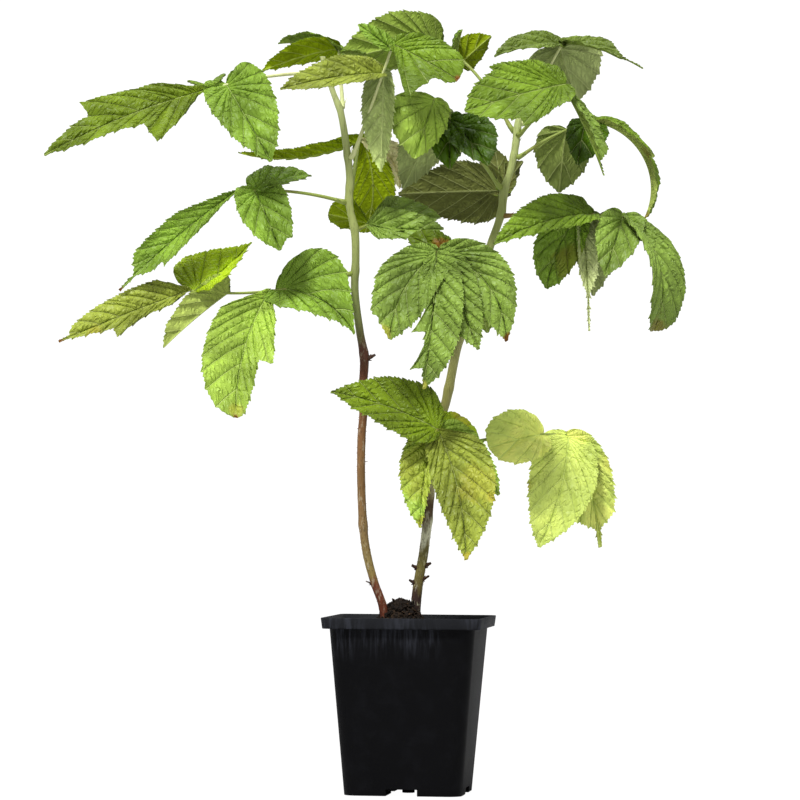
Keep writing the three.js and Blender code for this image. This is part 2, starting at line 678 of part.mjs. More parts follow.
// The room inside the pot; `inset` shrinks it all round.
const potRoom = (inset, top) => {
  const shrink = 2 * (POT.wall + inset);
  const floor = POT.floorTop + inset;
  const room = taperedBlock(
    floor,
    top,
    bodyWidth(floor) - shrink,
    bodyWidth(top) - shrink,
    POT.cornerRadius - POT.wall,
  );
  const inner = POT.channelWidth / 2 + POT.wall + inset;
  const outer = POT.bodyFoot / 2 - POT.wall - inset;
  const feet = [];
  for (const sideX of [-1, 1]) {
    for (const sideY of [-1, 1]) {
      const size = outer - inner;
      const well = new THREE.BoxGeometry(size, size, floor + 1 - POT.footFloor - inset);
      well.translate(
        sideX * (inner + size / 2),
        sideY * (inner + size / 2),
        (floor + 1 + POT.footFloor + inset) / 2,
      );
      feet.push(solidOf(well));
    }
  }
  const corners = taperedBlock(
    0,
    floor + 2,
    bodyWidth(0) - shrink,
    bodyWidth(floor + 2) - shrink,
    POT.cornerRadius - POT.wall,
  );
  return room.add(join(feet).intersect(corners));
};

const channelSolid = (turned) => {
  const w = POT.channelWidth / 2;
  const h = POT.channelHeight;
  const r = 3;
  const shape = new THREE.Shape();
  shape.moveTo(-w, -2);
  shape.lineTo(w, -2);
  shape.lineTo(w, h - r);
  shape.absarc(w - r, h - r, r, 0, Math.PI / 2, false);
  shape.lineTo(-w + r, h);
  shape.absarc(-w + r, h - r, r, Math.PI / 2, Math.PI, false);
  const bar = new THREE.ExtrudeGeometry(shape, { depth: 160, bevelEnabled: false, curveSegments: 4 });
  bar.translate(0, 0, -80);
  bar.rotateX(Math.PI / 2);
  bar.rotateZ(turned);
  return solidOf(bar);
};

const potSolid = () => {
  const lipFoot = POT.height - POT.rimHeight;
  const body = taperedBlock(0, lipFoot + 2, bodyWidth(0), bodyWidth(lipFoot + 2), POT.cornerRadius);
  const lip = taperedBlock(lipFoot, POT.height, POT.rimWidth - POT.rimLean, POT.rimWidth, POT.rimCorner);
  const shell = body.add(lip).subtract(potRoom(0, lipFoot + 1)).subtract(taperedBlock(
    lipFoot,
    POT.height + 1,
    bodyWidth(lipFoot) - 2 * POT.wall,
    POT.rimWidth - 2 * POT.wall - 2,
    POT.rimCorner - 1,
  ));
  const channels = channelSolid(0).add(channelSolid(Math.PI / 2));
  const stud = new THREE.CylinderGeometry(POT.studDiameter / 2, POT.studDiameter / 2, 8, 24);
  stud.rotateX(Math.PI / 2);
  stud.translate(0, 0, 4);
  const drains = [];
  for (const turn of [0, 1, 2, 3]) {
    const slot = new THREE.BoxGeometry(POT.drainLength, POT.drainWidth, 12);
    slot.translate(28, 0, POT.floorTop - 1);
    slot.rotateZ(turn * Math.PI / 2);
    drains.push(solidOf(slot));
  }
  return shell.subtract(channels).add(solidOf(stud)).subtract(join(drains));
};

const soilSolid = () => {
  const turn = POT.turn;
  const fill = potRoom(CLEARANCE, POT.height - POT.rimHeight).rotate([0, 0, turn]);
  const topWidth = bodyWidth(POT.height - POT.rimHeight) - 2 * (POT.wall + CLEARANCE);
  const layer = taperedBlock(
    POT.height - POT.rimHeight - 1,
    SOIL.level,
    topWidth - 0.4,
    topWidth,
    POT.cornerRadius,
  ).rotate([0, 0, turn]);
  const lumps = [];
  const { x, y, width, depth, rise } = SOIL.mound;
  const heap = new THREE.SphereGeometry(1, 12, 6);
  heap.scale(width / 2, depth / 2, rise);
  heap.translate(x, y, SOIL.level - 1);
  lumps.push(solidOf(heap));
  for (let k = 0; k < SOIL.crumbs; k += 1) {
    const angle = (k / SOIL.crumbs) * 2 * Math.PI;
    const size = 4.5 + 1.5 * Math.sin(k * 2.4);
    const crumb = new THREE.IcosahedronGeometry(size, 0);
    crumb.rotateX(k);
    crumb.rotateY(k * 1.7);
    crumb.translate(
      x + Math.cos(angle) * width * 0.3,
      y + Math.sin(angle) * depth * 0.3,
      SOIL.level + rise * 0.62 + Math.cos(k * 3.1) * 2,
    );
    lumps.push(solidOf(crumb));
  }
  const holes = [LEFT_CANE, RIGHT_CANE].map((path) => solidOf(
    caneGeometry(path, CANE_FOOT - CLEARANCE, path[path.length - 1][2], CLEARANCE),
  ));
  return fill.add(layer).add(join(lumps)).subtract(join(holes));
};

// ---------------------------------------------------------------- the plant
const paint = (color, roughness) => new THREE.MeshStandardMaterial({ color, roughness, metalness: 0 });
const PAINT = {
  leaf: paint(0x5f9a33, 0.6),
  cane: paint(0x8a9a62, 0.7),
  pot: paint(0x1b1c1e, 0.45),
  soil: paint(0x1d140e, 0.95),
};

const plant = new THREE.Group();
plant.name = "raspberry_plant";

const addPart = (name, solid, finish) => {
  const mesh = new THREE.Mesh(geometryOf(solid), finish);
  mesh.name = name;
  plant.add(mesh);
  return mesh;
};

addPart("pot", potSolid(), PAINT.pot).rotation.z = POT.turn * DEGREE;
addPart("soil", soilSolid(), PAINT.soil);
addPart("cane_left", caneSolid(LEFT_CANE, LEFT_SNAGS), PAINT.cane);
addPart("cane_right", caneSolid(RIGHT_CANE, RIGHT_SNAGS), PAINT.cane);
for (const leaf of LEAVES) {
  addPart(leaf.name, wholeBody(leafSolid(leaf.cane, leaf)), PAINT.leaf);
}

export default plant;
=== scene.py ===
"""A young potted raspberry, dressed for the workshop: canes, leaves, compost and nursery pot.

Sizes are in millimetres and turned to metres where a vertex is placed. Headings are compass
degrees seen from above: 0 is to the right (+X), 90 away from the front (+Y), 180 to the left.
"""

import logging
import math
import random
from bisect import bisect_left
from dataclasses import dataclass, field
from enum import Enum
from functools import cached_property
from typing import Iterable

import bmesh
import bpy
from mathutils import Matrix, Vector, noise


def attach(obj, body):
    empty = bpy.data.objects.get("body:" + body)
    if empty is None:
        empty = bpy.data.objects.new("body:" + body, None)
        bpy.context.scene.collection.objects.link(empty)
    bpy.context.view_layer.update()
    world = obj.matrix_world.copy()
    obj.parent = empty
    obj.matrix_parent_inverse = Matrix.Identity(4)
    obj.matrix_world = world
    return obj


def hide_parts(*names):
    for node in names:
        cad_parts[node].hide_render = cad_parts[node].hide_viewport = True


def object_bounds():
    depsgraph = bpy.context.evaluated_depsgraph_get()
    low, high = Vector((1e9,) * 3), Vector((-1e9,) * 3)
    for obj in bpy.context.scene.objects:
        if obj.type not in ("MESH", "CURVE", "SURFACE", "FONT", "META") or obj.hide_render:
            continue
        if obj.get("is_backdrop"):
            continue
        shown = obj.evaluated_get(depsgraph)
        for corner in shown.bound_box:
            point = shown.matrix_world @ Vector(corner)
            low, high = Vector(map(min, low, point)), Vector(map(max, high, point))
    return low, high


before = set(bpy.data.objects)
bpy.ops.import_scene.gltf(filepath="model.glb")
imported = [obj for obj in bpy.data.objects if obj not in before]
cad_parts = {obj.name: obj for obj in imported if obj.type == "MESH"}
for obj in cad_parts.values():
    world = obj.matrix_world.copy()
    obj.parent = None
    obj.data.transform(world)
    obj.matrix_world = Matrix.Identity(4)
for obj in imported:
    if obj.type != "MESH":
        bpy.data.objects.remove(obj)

LOG = logging.getLogger("raspberry")
MM = 0.001
UP = Vector((0.0, 0.0, 1.0))
Colour = tuple[int, int, int]
BLADE_LAYERS = ("yellowing", "browning", "openness")
NOISE_SEED = 5


def direction(heading: float, rise: float) -> Vector:
    """Turns a compass heading and a rise, in degrees, into a unit vector.

    Args:
        heading: Degrees round from +X, seen from above.
        rise: Degrees above the level.

    Returns:
        The unit vector.
    """
    h, r = math.radians(heading), math.radians(rise)
    return Vector((math.cos(r) * math.cos(h), math.cos(r) * math.sin(h), math.sin(r)))


def linear(colour: Colour) -> tuple[float, float, float, float]:
    """Turns a colour of 0-255 screen numbers into the renderer's linear numbers."""
    parts = [c / 255 for c in colour]
    return (*[p / 12.92 if p <= 0.04045 else ((p + 0.055) / 1.055) ** 2.4 for p in parts], 1.0)


def bell(x: float, middle: float, spread: float) -> float:
    """A smooth bump that is 1 at the middle and fades over the spread."""
    return math.exp(-(((x - middle) / spread) ** 2))


def turn_of(share: float) -> float:
    """Gives the place on the outline, 0 at the foot to 1 at the tip, of a share of the length."""
    return math.acos(1 - 2 * min(max(share, 0.0), 1.0)) / math.pi


# ------------------------------------------------------------------------------- colours
class Upper(Enum):
    """The greens of a leaflet's upper face, dealt out by leaflet.

    They mix the leaves' own tones with lit and shaded copies of one green. The lime, cream and withered
    tones are lightened as painted light. The olive is painted light shining through a blade lit from
    behind. The bottle green is painted shade.
    """

    # Painted light: the lime and cream greens are lightened to stand for light shining through these
    # blades.
    LIME_LIT = (216, 238, 114)
    CREAM_LIT = (226, 250, 118)
    SPRING = (168, 200, 76)
    FRESH = (140, 176, 58)
    LEAF = (134, 162, 66)
    MEADOW = (120, 150, 38)
    SUNNY = (154, 168, 62)
    # Painted light: this olive stands for light shining through a blade lit from behind.
    OLIVE_BACKLIT = (118, 142, 26)
    GREYED = (116, 138, 48)
    MOSS = (94, 116, 16)
    # Painted shade: this bottle green is darkened for leaflets shaded by the leaves above.
    BOTTLE_SHADED = (66, 96, 2)
    ACID = (176, 206, 24)
    FROSTED = (208, 220, 150)
    # The withered tone, lightened as painted light on a shaded leaflet.
    WITHERED_LIT = (252, 236, 172)


class Under(Enum):
    """The paler, felted greens of a leaflet's underside, dealt out by leaflet.

    They are partly the underside's own colour and partly painted light. They are set lighter to stand
    for the light bounced onto faces turned from the sun. The slate green is painted shade.
    """

    # Partly painted light: these greens are set lighter than the underside's own colour.
    MILKY = (178, 196, 96)
    SILVER = (188, 206, 126)
    PEWTER = (170, 184, 116)
    SAGE = (134, 150, 76)
    FERN = (140, 164, 66)
    GILT = (152, 176, 16)
    MUSTARD = (134, 154, 10)
    # Painted shade: the slate green stands for an underside in shade.
    SLATE = (106, 112, 56)


class Stem(Enum):
    """The colours of the leaf stalks."""

    PALE = (222, 228, 162)
    GREEN = (150, 166, 78)
    RUSSET = (150, 122, 66)


# ------------------------------------------------------------------------------ materials
class Wiring:
    """Lays out and joins the nodes of one material or node group."""

    def __init__(self, tree: bpy.types.NodeTree) -> None:
        """Starts on an empty tree.

        Args:
            tree: The node tree to fill; nodes already in it are removed.
        """
        self.tree = tree
        tree.nodes.clear()

    def node(self, kind: str, **settings: object) -> bpy.types.Node:
        """Adds a node.

        Args:
            kind: The node's type name without the ShaderNode prefix.
            **settings: Properties to set on it.

        Returns:
            The new node.
        """
        made = self.tree.nodes.new("ShaderNode" + kind)
        for name, value in settings.items():
            setattr(made, name, value)
        return made

    def feed(self, socket: bpy.types.NodeSocket, value: object) -> None:
        """Links a socket to another, or sets it to a plain value."""
        if isinstance(value, bpy.types.NodeSocket):
            self.tree.links.new(value, socket)
        else:
            socket.default_value = value

    def math(self, operation: str, *values: object, clamp: bool = False) -> bpy.types.NodeSocket:
        """Adds a Math node over one to three values and returns its result."""
        made = self.node("Math", operation=operation, use_clamp=clamp)
        for socket, value in zip(made.inputs, values):
            self.feed(socket, value)
        return made.outputs[0]

    def span(self, value: object, low: float, high: float, first: float = 0.0,
             last: float = 1.0) -> bpy.types.NodeSocket:
        """Carries a value smoothly from one range into another.

        Args:
            value: The value to carry.
            low: Where the range starts.
            high: Where it ends.
            first: The result at the start.
            last: The result at the end.

        Returns:
            The result socket.
        """
        made = self.node("MapRange", interpolation_type="SMOOTHSTEP")
        for socket, number in zip(made.inputs, (value, low, high, first, last)):
            self.feed(socket, number)
        return made.outputs[0]

    def blend(self, factor: object, first: object, second: object,
              how: str = "MIX") -> bpy.types.NodeSocket:
        """Mixes two colours by a factor and returns the result."""
        made = self.node("Mix", data_type="RGBA", blend_type=how)
        self.feed(made.inputs[0], factor)
        self.feed(made.inputs[6], first)
        self.feed(made.inputs[7], second)
        return made.outputs[2]

    def clouds(self, vector: object, scale: float, detail: float = 2.0,
               rough: float = 0.5) -> bpy.types.NodeSocket:
        """Adds a Noise texture and returns its factor."""
        made = self.node("TexNoise")
        self.feed(made.inputs["Vector"], vector)
        made.inputs["Scale"].default_value = scale
        made.inputs["Detail"].default_value = detail
        made.inputs["Roughness"].default_value = rough
        return made.outputs["Fac"]

    def cells(self, vector: object, scale: float, feature: str = "F1") -> bpy.types.NodeSocket:
        """Adds a Voronoi texture and returns its distance."""
        made = self.node("TexVoronoi", feature=feature)
        self.feed(made.inputs["Vector"], vector)
        made.inputs["Scale"].default_value = scale
        return made.outputs["Distance"]

    def place(self, scale: tuple[float, float, float] = (1.0, 1.0, 1.0)) -> bpy.types.NodeSocket:
        """Gives the object coordinates, stretched by a scale."""
        spot = self.node("TexCoord").outputs["Object"]
        mapping = self.node("Mapping")
        self.feed(mapping.inputs["Vector"], spot)
        mapping.inputs["Scale"].default_value = scale
        return mapping.outputs["Vector"]

    def height_ramp(self, value: object, stops: Iterable[tuple[float, Colour]]) -> bpy.types.NodeSocket:
        """Adds a colour ramp through the stops and returns its colour."""
        made = self.node("ValToRGB")
        self.feed(made.inputs[0], value)
        band = made.color_ramp.elements
        stops = list(stops)
        while len(band) < len(stops):
            band.new(0.5)
        for element, (at, colour) in zip(band, stops):
            element.position = at
            element.color = linear(colour)
        return made.outputs["Color"]

    def skin(self, colour: object, roughness: object, height: object, depth: float,
             specular: float, invert: bool = False) -> None:
        """Closes the material with a bumped Principled surface.

        Args:
            colour: The base colour.
            roughness: The roughness.
            height: The relief, as a share of the depth.
            depth: What a height of 1 stands for, in metres.
            specular: The specular level, the same all over.
            invert: Whether the relief is sunk rather than raised.
        """
        bump = self.node("Bump", invert=invert)
        bump.inputs["Strength"].default_value = 1.0
        bump.inputs["Distance"].default_value = depth
        self.feed(bump.inputs["Height"], height)
        shader = self.node("BsdfPrincipled")
        self.feed(shader.inputs["Base Color"], colour)
        self.feed(shader.inputs["Roughness"], roughness)
        self.feed(shader.inputs["Normal"], bump.outputs["Normal"])
        shader.inputs["Specular IOR Level"].default_value = specular
        self.feed(self.node("OutputMaterial").inputs["Surface"], shader.outputs[0])


def new_material(name: str) -> tuple[bpy.types.Material, Wiring]:
    """Makes an empty node material and the wiring that fills it."""
    material = bpy.data.materials.new(name)
    material.use_nodes = True
    return material, Wiring(material.node_tree)


def new_group(name: str, inputs: dict[str, str], outputs: dict[str, str]) -> bpy.types.NodeTree:
    """Makes an empty shader node group.

    Args:
        name: The group's name.
        inputs: Socket type by name of each input.
        outputs: Socket type by name of each output.

    Returns:
        The group, with its sockets made.
    """
    group = bpy.data.node_groups.new(name, "ShaderNodeTree")
    for way, sockets in (("INPUT", inputs), ("OUTPUT", outputs)):
        for label, kind in sockets.items():
            group.interface.new_socket(label, in_out=way, socket_type="NodeSocket" + kind)
    return group


def vein_group() -> bpy.types.NodeTree:
    """Builds the group that draws a blade's veins, once.

    The grid it reads counts side veins along X and millimetres from the midrib along Y.

    Returns:
        The group: masks of the veins and of the fine net, and the relief of the blade.
    """
    known = bpy.data.node_groups.get("leaf_veins")
    if known:
        return known
    group = new_group("leaf_veins", {"Grid": "Vector"},
                      {"Veins": "Float", "Grooves": "Float", "Net": "Float", "Relief": "Float"})
    w = Wiring(group)
    entry = group.nodes.new("NodeGroupInput")
    leave = group.nodes.new("NodeGroupOutput")
    parts = w.node("SeparateXYZ")
    w.feed(parts.inputs[0], entry.outputs["Grid"])
    along, off = parts.outputs[0], w.math("ABSOLUTE", parts.outputs[1])
    open_out = w.node("Attribute", attribute_name="openness").outputs["Fac"]
    rib = w.span(off, 0.35, 1.1, 1.0, 0.0)
    near = w.math("ABSOLUTE", w.math("SUBTRACT", w.math("FRACT", w.math("ADD", along, 0.5)), 0.5))
    side = w.math("MULTIPLY", w.span(near, 0.012, 0.05, 1.0, 0.0), open_out)
    # Mask of the grooves beside the side veins, which the leaf material darkens as painted shade.
    groove = w.math("MULTIPLY", w.span(near, 0.02, 0.24, 1.0, 0.0), open_out)
    wobble = w.math("MULTIPLY", w.clouds(w.place(), 260.0, 1.0), 1.2)
    rung = w.math("ADD", w.math("DIVIDE", off, 2.3), w.math("MULTIPLY", along, 3.0))
    cell = w.node("CombineXYZ")
    w.feed(cell.inputs[0], w.math("MULTIPLY", along, 1.7))
    w.feed(cell.inputs[1], w.math("ADD", rung, wobble))
    edge = w.cells(cell.outputs[0], 1.0, "DISTANCE_TO_EDGE")
    puff = w.math("MULTIPLY", w.span(edge, 0.0, 0.42), open_out)
    major = w.math("MAXIMUM", rib, side)
    w.feed(leave.inputs["Veins"], major)
    w.feed(leave.inputs["Grooves"], groove)
    # Mask of the fine net, which the leaf material darkens as painted shade.
    w.feed(leave.inputs["Net"], w.math("MULTIPLY", w.span(edge, 0.0, 0.2, 1.0, 0.0), open_out))
    w.feed(leave.inputs["Relief"], w.math("SUBTRACT", puff, w.math("MULTIPLY", major, 0.6)))
    return group


@dataclass(frozen=True)
class FaceLook:
    """What sets one face of a blade apart from the other: shares are of a full mix."""

    prefix: str
    rib_share: float
    # How strongly the painted shade darkens the grooves and the net on this face.
    hollow_shade_gain: float
    rough: tuple[float, float]
    depth: float
    specular: float


class Face(Enum):
    """The two faces of a blade."""

    UPPER = FaceLook("leaf_", 0.32, 1.0, (0.38, 0.5), 0.0013, 0.22)
    UNDER = FaceLook("underleaf_", 0.24, 1.4, (0.6, 0.76), 0.0008, 0.08)


@dataclass(frozen=True)
class LeafFinish:
    """The satin face of a raspberry leaflet, upper or under.

    Its colour is darkened as painted shade in the grooves beside the side veins and along the fine net.
    It is also mottled in broad lighter and darker patches, which are partly random tone and partly
    painted light and shade.
    """

    tone: Enum
    face: Face

    CLOUD_SCALE = 30.0
    GRAIN_SCALE = 420.0
    GRAIN_SHARE = 0.25
    # Gains of the broad patches, which are partly random tone and partly painted shade and painted
    # light. The darker gain also colours the fine grain.
    SHADE_AND_GRAIN_GAIN = 0.66
    LIT_TONE_GAIN = 1.24
    # Painted shade in the vein grooves and fine net: how dark it goes, and how much less on pale tones.
    HOLLOW_SHADE_GAIN = 0.42
    PALE_FROM = 0.55
    PALE_HOLLOW_SHADE = 1.2
    RIB_COLOUR = (214, 222, 152)
    VEIN_SHARE = 0.8
    SHADED_HOLLOWS = (("Net", 0.26), ("Grooves", 0.2))
    BLEMISHES = (("yellowing", (204, 184, 60)), ("browning", (124, 76, 22)))

    def material(self) -> bpy.types.Material:
        """Builds the material once and returns it."""
        look = self.face.value
        name = look.prefix + self.tone.name.lower()
        if name in bpy.data.materials:
            return bpy.data.materials[name]
        material, w = new_material(name)
        grid = w.node("UVMap", uv_map="VeinGrid").outputs["UV"]
        veins = material.node_tree.nodes.new("ShaderNodeGroup")
        veins.node_tree = vein_group()
        w.feed(veins.inputs["Grid"], grid)
        base = linear(self.tone.value)
        paleness = max(0.0, base[1] - self.PALE_FROM)
        spot = w.place()
        broad = w.clouds(spot, self.CLOUD_SCALE, 3.0)
        fine = w.clouds(spot, self.GRAIN_SCALE, 2.0, 0.6)
        # Painted shade: the grooves and the fine net are darkened toward this colour, less so on pale
        # tones.
        hollow_shade = self.HOLLOW_SHADE_GAIN + self.PALE_HOLLOW_SHADE * paleness
        dark, lit_tone, deep = (tuple(min(c * gain, 1.0) for c in base[:3]) + (1.0,)
                              for gain in (self.SHADE_AND_GRAIN_GAIN, self.LIT_TONE_GAIN, hollow_shade))
        pale = linear(self.RIB_COLOUR)
        rib = tuple(c + (p - c) * look.rib_share for c, p in zip(base[:3], pale)) + (1.0,)
        # Broad patches lighter and darker: partly random tone, partly painted light and shade across
        # the blade.
        colour = w.blend(w.span(broad, 0.32, 0.68), dark, lit_tone)
        colour = w.blend(w.math("MULTIPLY", w.span(fine, 0.5, 0.75), self.GRAIN_SHARE), colour, dark)
        # Painted shade in the grooves and along the fine net.
        for mask, share in self.SHADED_HOLLOWS:
            amount = w.math("MULTIPLY", veins.outputs[mask], share * look.hollow_shade_gain)
            colour = w.blend(amount, colour, deep)
        colour = w.blend(w.math("MULTIPLY", veins.outputs["Veins"], self.VEIN_SHARE), colour, rib)
        for layer, shade in self.BLEMISHES:
            amount = w.node("Attribute", attribute_name=layer).outputs["Fac"]
            colour = w.blend(amount, colour, linear(shade))
        rough = w.span(fine, 0.3, 0.7, *look.rough)
        w.skin(colour, rough, veins.outputs["Relief"], (1 - paleness) * look.depth,
               look.specular, invert=self.face is Face.UNDER)
        return material


@dataclass(frozen=True)
class StalkFinish:
    """The smooth, downy skin of a leaf stalk."""

    tone: Stem

    WARM = (148, 116, 62)
    DEEP_GAIN = 0.86

    def material(self) -> bpy.types.Material:
        """Builds the material once and returns it."""
        name = "stalk_" + self.tone.name.lower()
        if name in bpy.data.materials:
            return bpy.data.materials[name]
        material, w = new_material(name)
        base = linear(self.tone.value)
        spot = w.place()
        broad = w.clouds(spot, 90.0, 3.0)
        fine = w.clouds(spot, 1400.0, 2.0)
        warm = w.math("MULTIPLY", w.span(broad, 0.5, 0.72), 0.25)
        colour = w.blend(warm, base, linear(self.WARM))
        deep = tuple(c * self.DEEP_GAIN for c in base[:3]) + (1.0,)
        colour = w.blend(w.math("MULTIPLY", w.span(fine, 0.5, 0.7), 0.6), colour, deep)
        w.skin(colour, w.span(fine, 0.3, 0.7, 0.45, 0.6), fine, 0.0002, 0.4)
        return material


@dataclass(frozen=True)
class BarkFinish:
    """The skin of a cane: waxy green above, brown and scaly at the foot."""

    name: str
    stops: tuple[tuple[float, Colour], ...]
    foot: float
    top: float
    streaks: Colour
    streak_share: float
    brown_below: float

    BROWN_FADE = 30
    GRAIN_COLOUR = (70, 48, 30)
    SPOT_COLOUR = (58, 36, 22)

    def material(self) -> bpy.types.Material:
        """Builds the material once and returns it."""
        material, w = new_material(self.name)
        parts = w.node("SeparateXYZ")
        spot = w.place()
        w.feed(parts.inputs[0], spot)
        drift = w.clouds(w.place((1.0, 1.0, 0.25)), 120.0, 3.0)
        height = w.math("ADD", parts.outputs[2], w.span(drift, 0.2, 0.8, -0.012, 0.012))
        climb = w.math("SUBTRACT", height, self.foot * MM)
        share = w.math("DIVIDE", climb, (self.top - self.foot) * MM)
        stops = [((z - self.foot) / (self.top - self.foot), c) for z, c in self.stops]
        colour = w.height_ramp(share, stops)
        grain = w.clouds(w.place((1.0, 1.0, 0.09)), 900.0, 3.0, 0.6)
        scale = w.clouds(w.place((1.0, 1.0, 0.3)), 420.0, 3.0, 0.65)
        dots = w.cells(w.place((1.0, 1.0, 0.5)), 620.0)
        colour = w.blend(w.math("MULTIPLY", w.span(grain, 0.52, 0.7), 0.35), colour,
                         linear(self.GRAIN_COLOUR), "MULTIPLY")
        fade = [(self.brown_below + way * self.BROWN_FADE) * MM for way in (-1, 1)]
        low = w.span(parts.outputs[2], *fade, 1.0, 0.0)
        flake = w.math("MULTIPLY", w.span(scale, 0.56, 0.64), low)
        colour = w.blend(w.math("MULTIPLY", flake, self.streak_share), colour, linear(self.streaks))
        spots = w.math("MULTIPLY", w.span(dots, 0.18, 0.3, 1.0, 0.0), w.math("MULTIPLY", low, 0.6))
        colour = w.blend(spots, colour, linear(self.SPOT_COLOUR))
        relief = w.math("ADD", w.math("MULTIPLY", grain, 0.5),
                        w.math("MULTIPLY", w.math("MULTIPLY", scale, low), 1.2))
        w.skin(colour, w.span(low, 0.0, 1.0, 0.5, 0.72), relief, 0.0004, 0.35)
        return material


@dataclass(frozen=True)
class PlainBarkFinish:
    """Dry dark tissue: bud scales, snags, thorns and cut ends."""

    name: str
    colour: Colour
    other: Colour

    def material(self) -> bpy.types.Material:
        """Builds the material once and returns it."""
        if self.name in bpy.data.materials:
            return bpy.data.materials[self.name]
        material, w = new_material(self.name)
        grain = w.clouds(w.place(), 700.0, 4.0, 0.65)
        colour = w.blend(w.span(grain, 0.35, 0.65), linear(self.colour), linear(self.other))
        w.skin(colour, w.span(grain, 0.2, 0.8, 0.6, 0.85), grain, 0.0005, 0.25)
        return material


@dataclass(frozen=True)
class PotFinish:
    """Moulded black plastic, satin, with faint upright scuffs under the lip and a lighter lip, which is
    a painted highlight.
    """

    colour: Colour = (8, 8, 10)
    scuff: Colour = (60, 62, 70)
    # Painted highlight: the lip is coloured lighter than the body.
    rim: Colour = (30, 31, 34)
    scuff_from: float = 112
    scuff_to: float = 140
    rim_highlight_from: float = 144

    def material(self) -> bpy.types.Material:
        """Builds the material and returns it."""
        material, w = new_material("pot_plastic")
        parts = w.node("SeparateXYZ")
        w.feed(parts.inputs[0], w.place())
        upright = w.clouds(w.place((1.0, 1.0, 0.06)), 260.0, 3.0, 0.6)
        patches = w.clouds(w.place((1.0, 1.0, 0.5)), 24.0, 2.0)
        grain = w.clouds(w.place(), 1800.0, 2.0)
        band = w.span(parts.outputs[2], self.scuff_from * MM, self.scuff_to * MM)
        worn = w.math("MULTIPLY", w.span(upright, 0.4, 0.72), w.span(patches, 0.42, 0.58))
        worn = w.math("MULTIPLY", worn, band)
        dust = w.span(w.clouds(w.place(), 60.0, 4.0, 0.6), 0.45, 0.75, 0.0, 0.04)
        # Painted highlight: a lighter band from this height up over the lip.
        lip = w.span(parts.outputs[2], self.rim_highlight_from * MM, (self.rim_highlight_from + 2) * MM)
        colour = w.blend(lip, linear(self.colour), linear(self.rim))
        colour = w.blend(w.math("MAXIMUM", w.math("MULTIPLY", worn, 0.6), dust), colour,
                         linear(self.scuff))
        rough = w.math("ADD", w.span(grain, 0.3, 0.7, 0.5, 0.6), w.math("MULTIPLY", worn, 0.2))
        w.skin(colour, rough, w.math("ADD", grain, w.math("MULTIPLY", upright, 0.6)), 0.00006, 0.07)
        return material


@dataclass(frozen=True)
class CompostFinish:
    """Damp dark compost, near black in its hollows, where the colour is darkened as painted shade."""

    name: str
    colour: Colour
    other: Colour

    def material(self) -> bpy.types.Material:
        """Builds the material and returns it."""
        material, w = new_material(self.name)
        crumb = w.clouds(w.place(), 260.0, 5.0, 0.7)
        grit = w.cells(w.place(), 520.0)
        # Painted shade: the colour darkens where the crumb noise sinks the bump into hollows, and is
        # paler on the raised crumbs.
        colour = w.blend(w.span(crumb, 0.35, 0.68), linear(self.colour), linear(self.other))
        colour = w.blend(w.span(grit, 0.0, 0.25, 0.3, 0.0), colour, linear((96, 74, 52)))
        height = w.math("ADD", w.math("MULTIPLY", crumb, 1.2), w.math("MULTIPLY", grit, 0.6))
        w.skin(colour, w.span(crumb, 0.3, 0.7, 0.78, 0.95), height, 0.0016, 0.2)
        return material


# ---------------------------------------------------------------------------------- shapes
def unique(parts: Iterable) -> list:
    """Lists each part of a mesh once, in the order met, so that every run builds alike."""
    return list(dict.fromkeys(parts))


def smoothed(bm: bmesh.types.BMesh) -> None:
    """Shades every face smoothly."""
    for face in bm.faces:
        face.smooth = True


def place_object(name: str, data: bpy.types.ID) -> bpy.types.Object:
    """Puts an object that holds the data into the scene and returns it."""
    made = bpy.data.objects.new(name, data)
    bpy.context.scene.collection.objects.link(made)
    return made


def make_piece(name: str, bm: bmesh.types.BMesh, materials: list[bpy.types.Material],
               nodes: Iterable[str]) -> bpy.types.Object:
    """Turns a bmesh into a finished piece of the plant that rides on its body.

    Args:
        name: The piece's name.
        bm: The shape, which is freed.
        materials: The materials, in the order of the faces' material numbers.
        nodes: The solids that the piece stands for.

    Returns:
        The new object.
    """
    mesh = bpy.data.meshes.new(name)
    bm.to_mesh(mesh)
    bm.free()
    for material in materials:
        mesh.materials.append(material)
    piece = place_object(name, mesh)
    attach(piece, "root")
    if nodes:
        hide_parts(*nodes)
    LOG.info("%s: %d faces", name, len(mesh.polygons))
    return piece


def raise_tube(bm: bmesh.types.BMesh, sides: int, steps: int) -> list[bmesh.types.BMVert]:
    """Draws a round of radius 1 up into a closed tube, one unit of height a step.

    Args:
        bm: The mesh to add it to.
        sides: How many faces go round it.
        steps: How many steps it has.

    Returns:
        The vertices of the tube, which stands on height 0.
    """
    verts = bmesh.ops.create_circle(bm, cap_ends=False, segments=sides, radius=1.0)["verts"]
    ring = unique(e for v in verts for e in v.link_edges)
    bmesh.ops.holes_fill(bm, edges=ring, sides=0)
    for _ in range(steps):
        made = bmesh.ops.extrude_edge_only(bm, edges=ring)["geom"]
        verts = [g for g in made if isinstance(g, bmesh.types.BMVert)]
        bmesh.ops.translate(bm, verts=verts, vec=(0, 0, 1))
        level = verts[0].co.z
        ring = [g for g in made if isinstance(g, bmesh.types.BMEdge)
                and all(abs(v.co.z - level) < 0.01 for v in g.verts)]
    bmesh.ops.holes_fill(bm, edges=ring, sides=0)
    tube = unique(f for e in ring for f in e.link_faces)
    known, reached = set(tube), tube
    while reached:
        near = unique(f for g in reached for e in g.edges for f in e.link_faces)
        reached = [f for f in near if f not in known]
        known.update(reached)
        tube = tube + reached
    bmesh.ops.recalc_face_normals(bm, faces=tube)
    return unique(v for f in tube for v in f.verts)


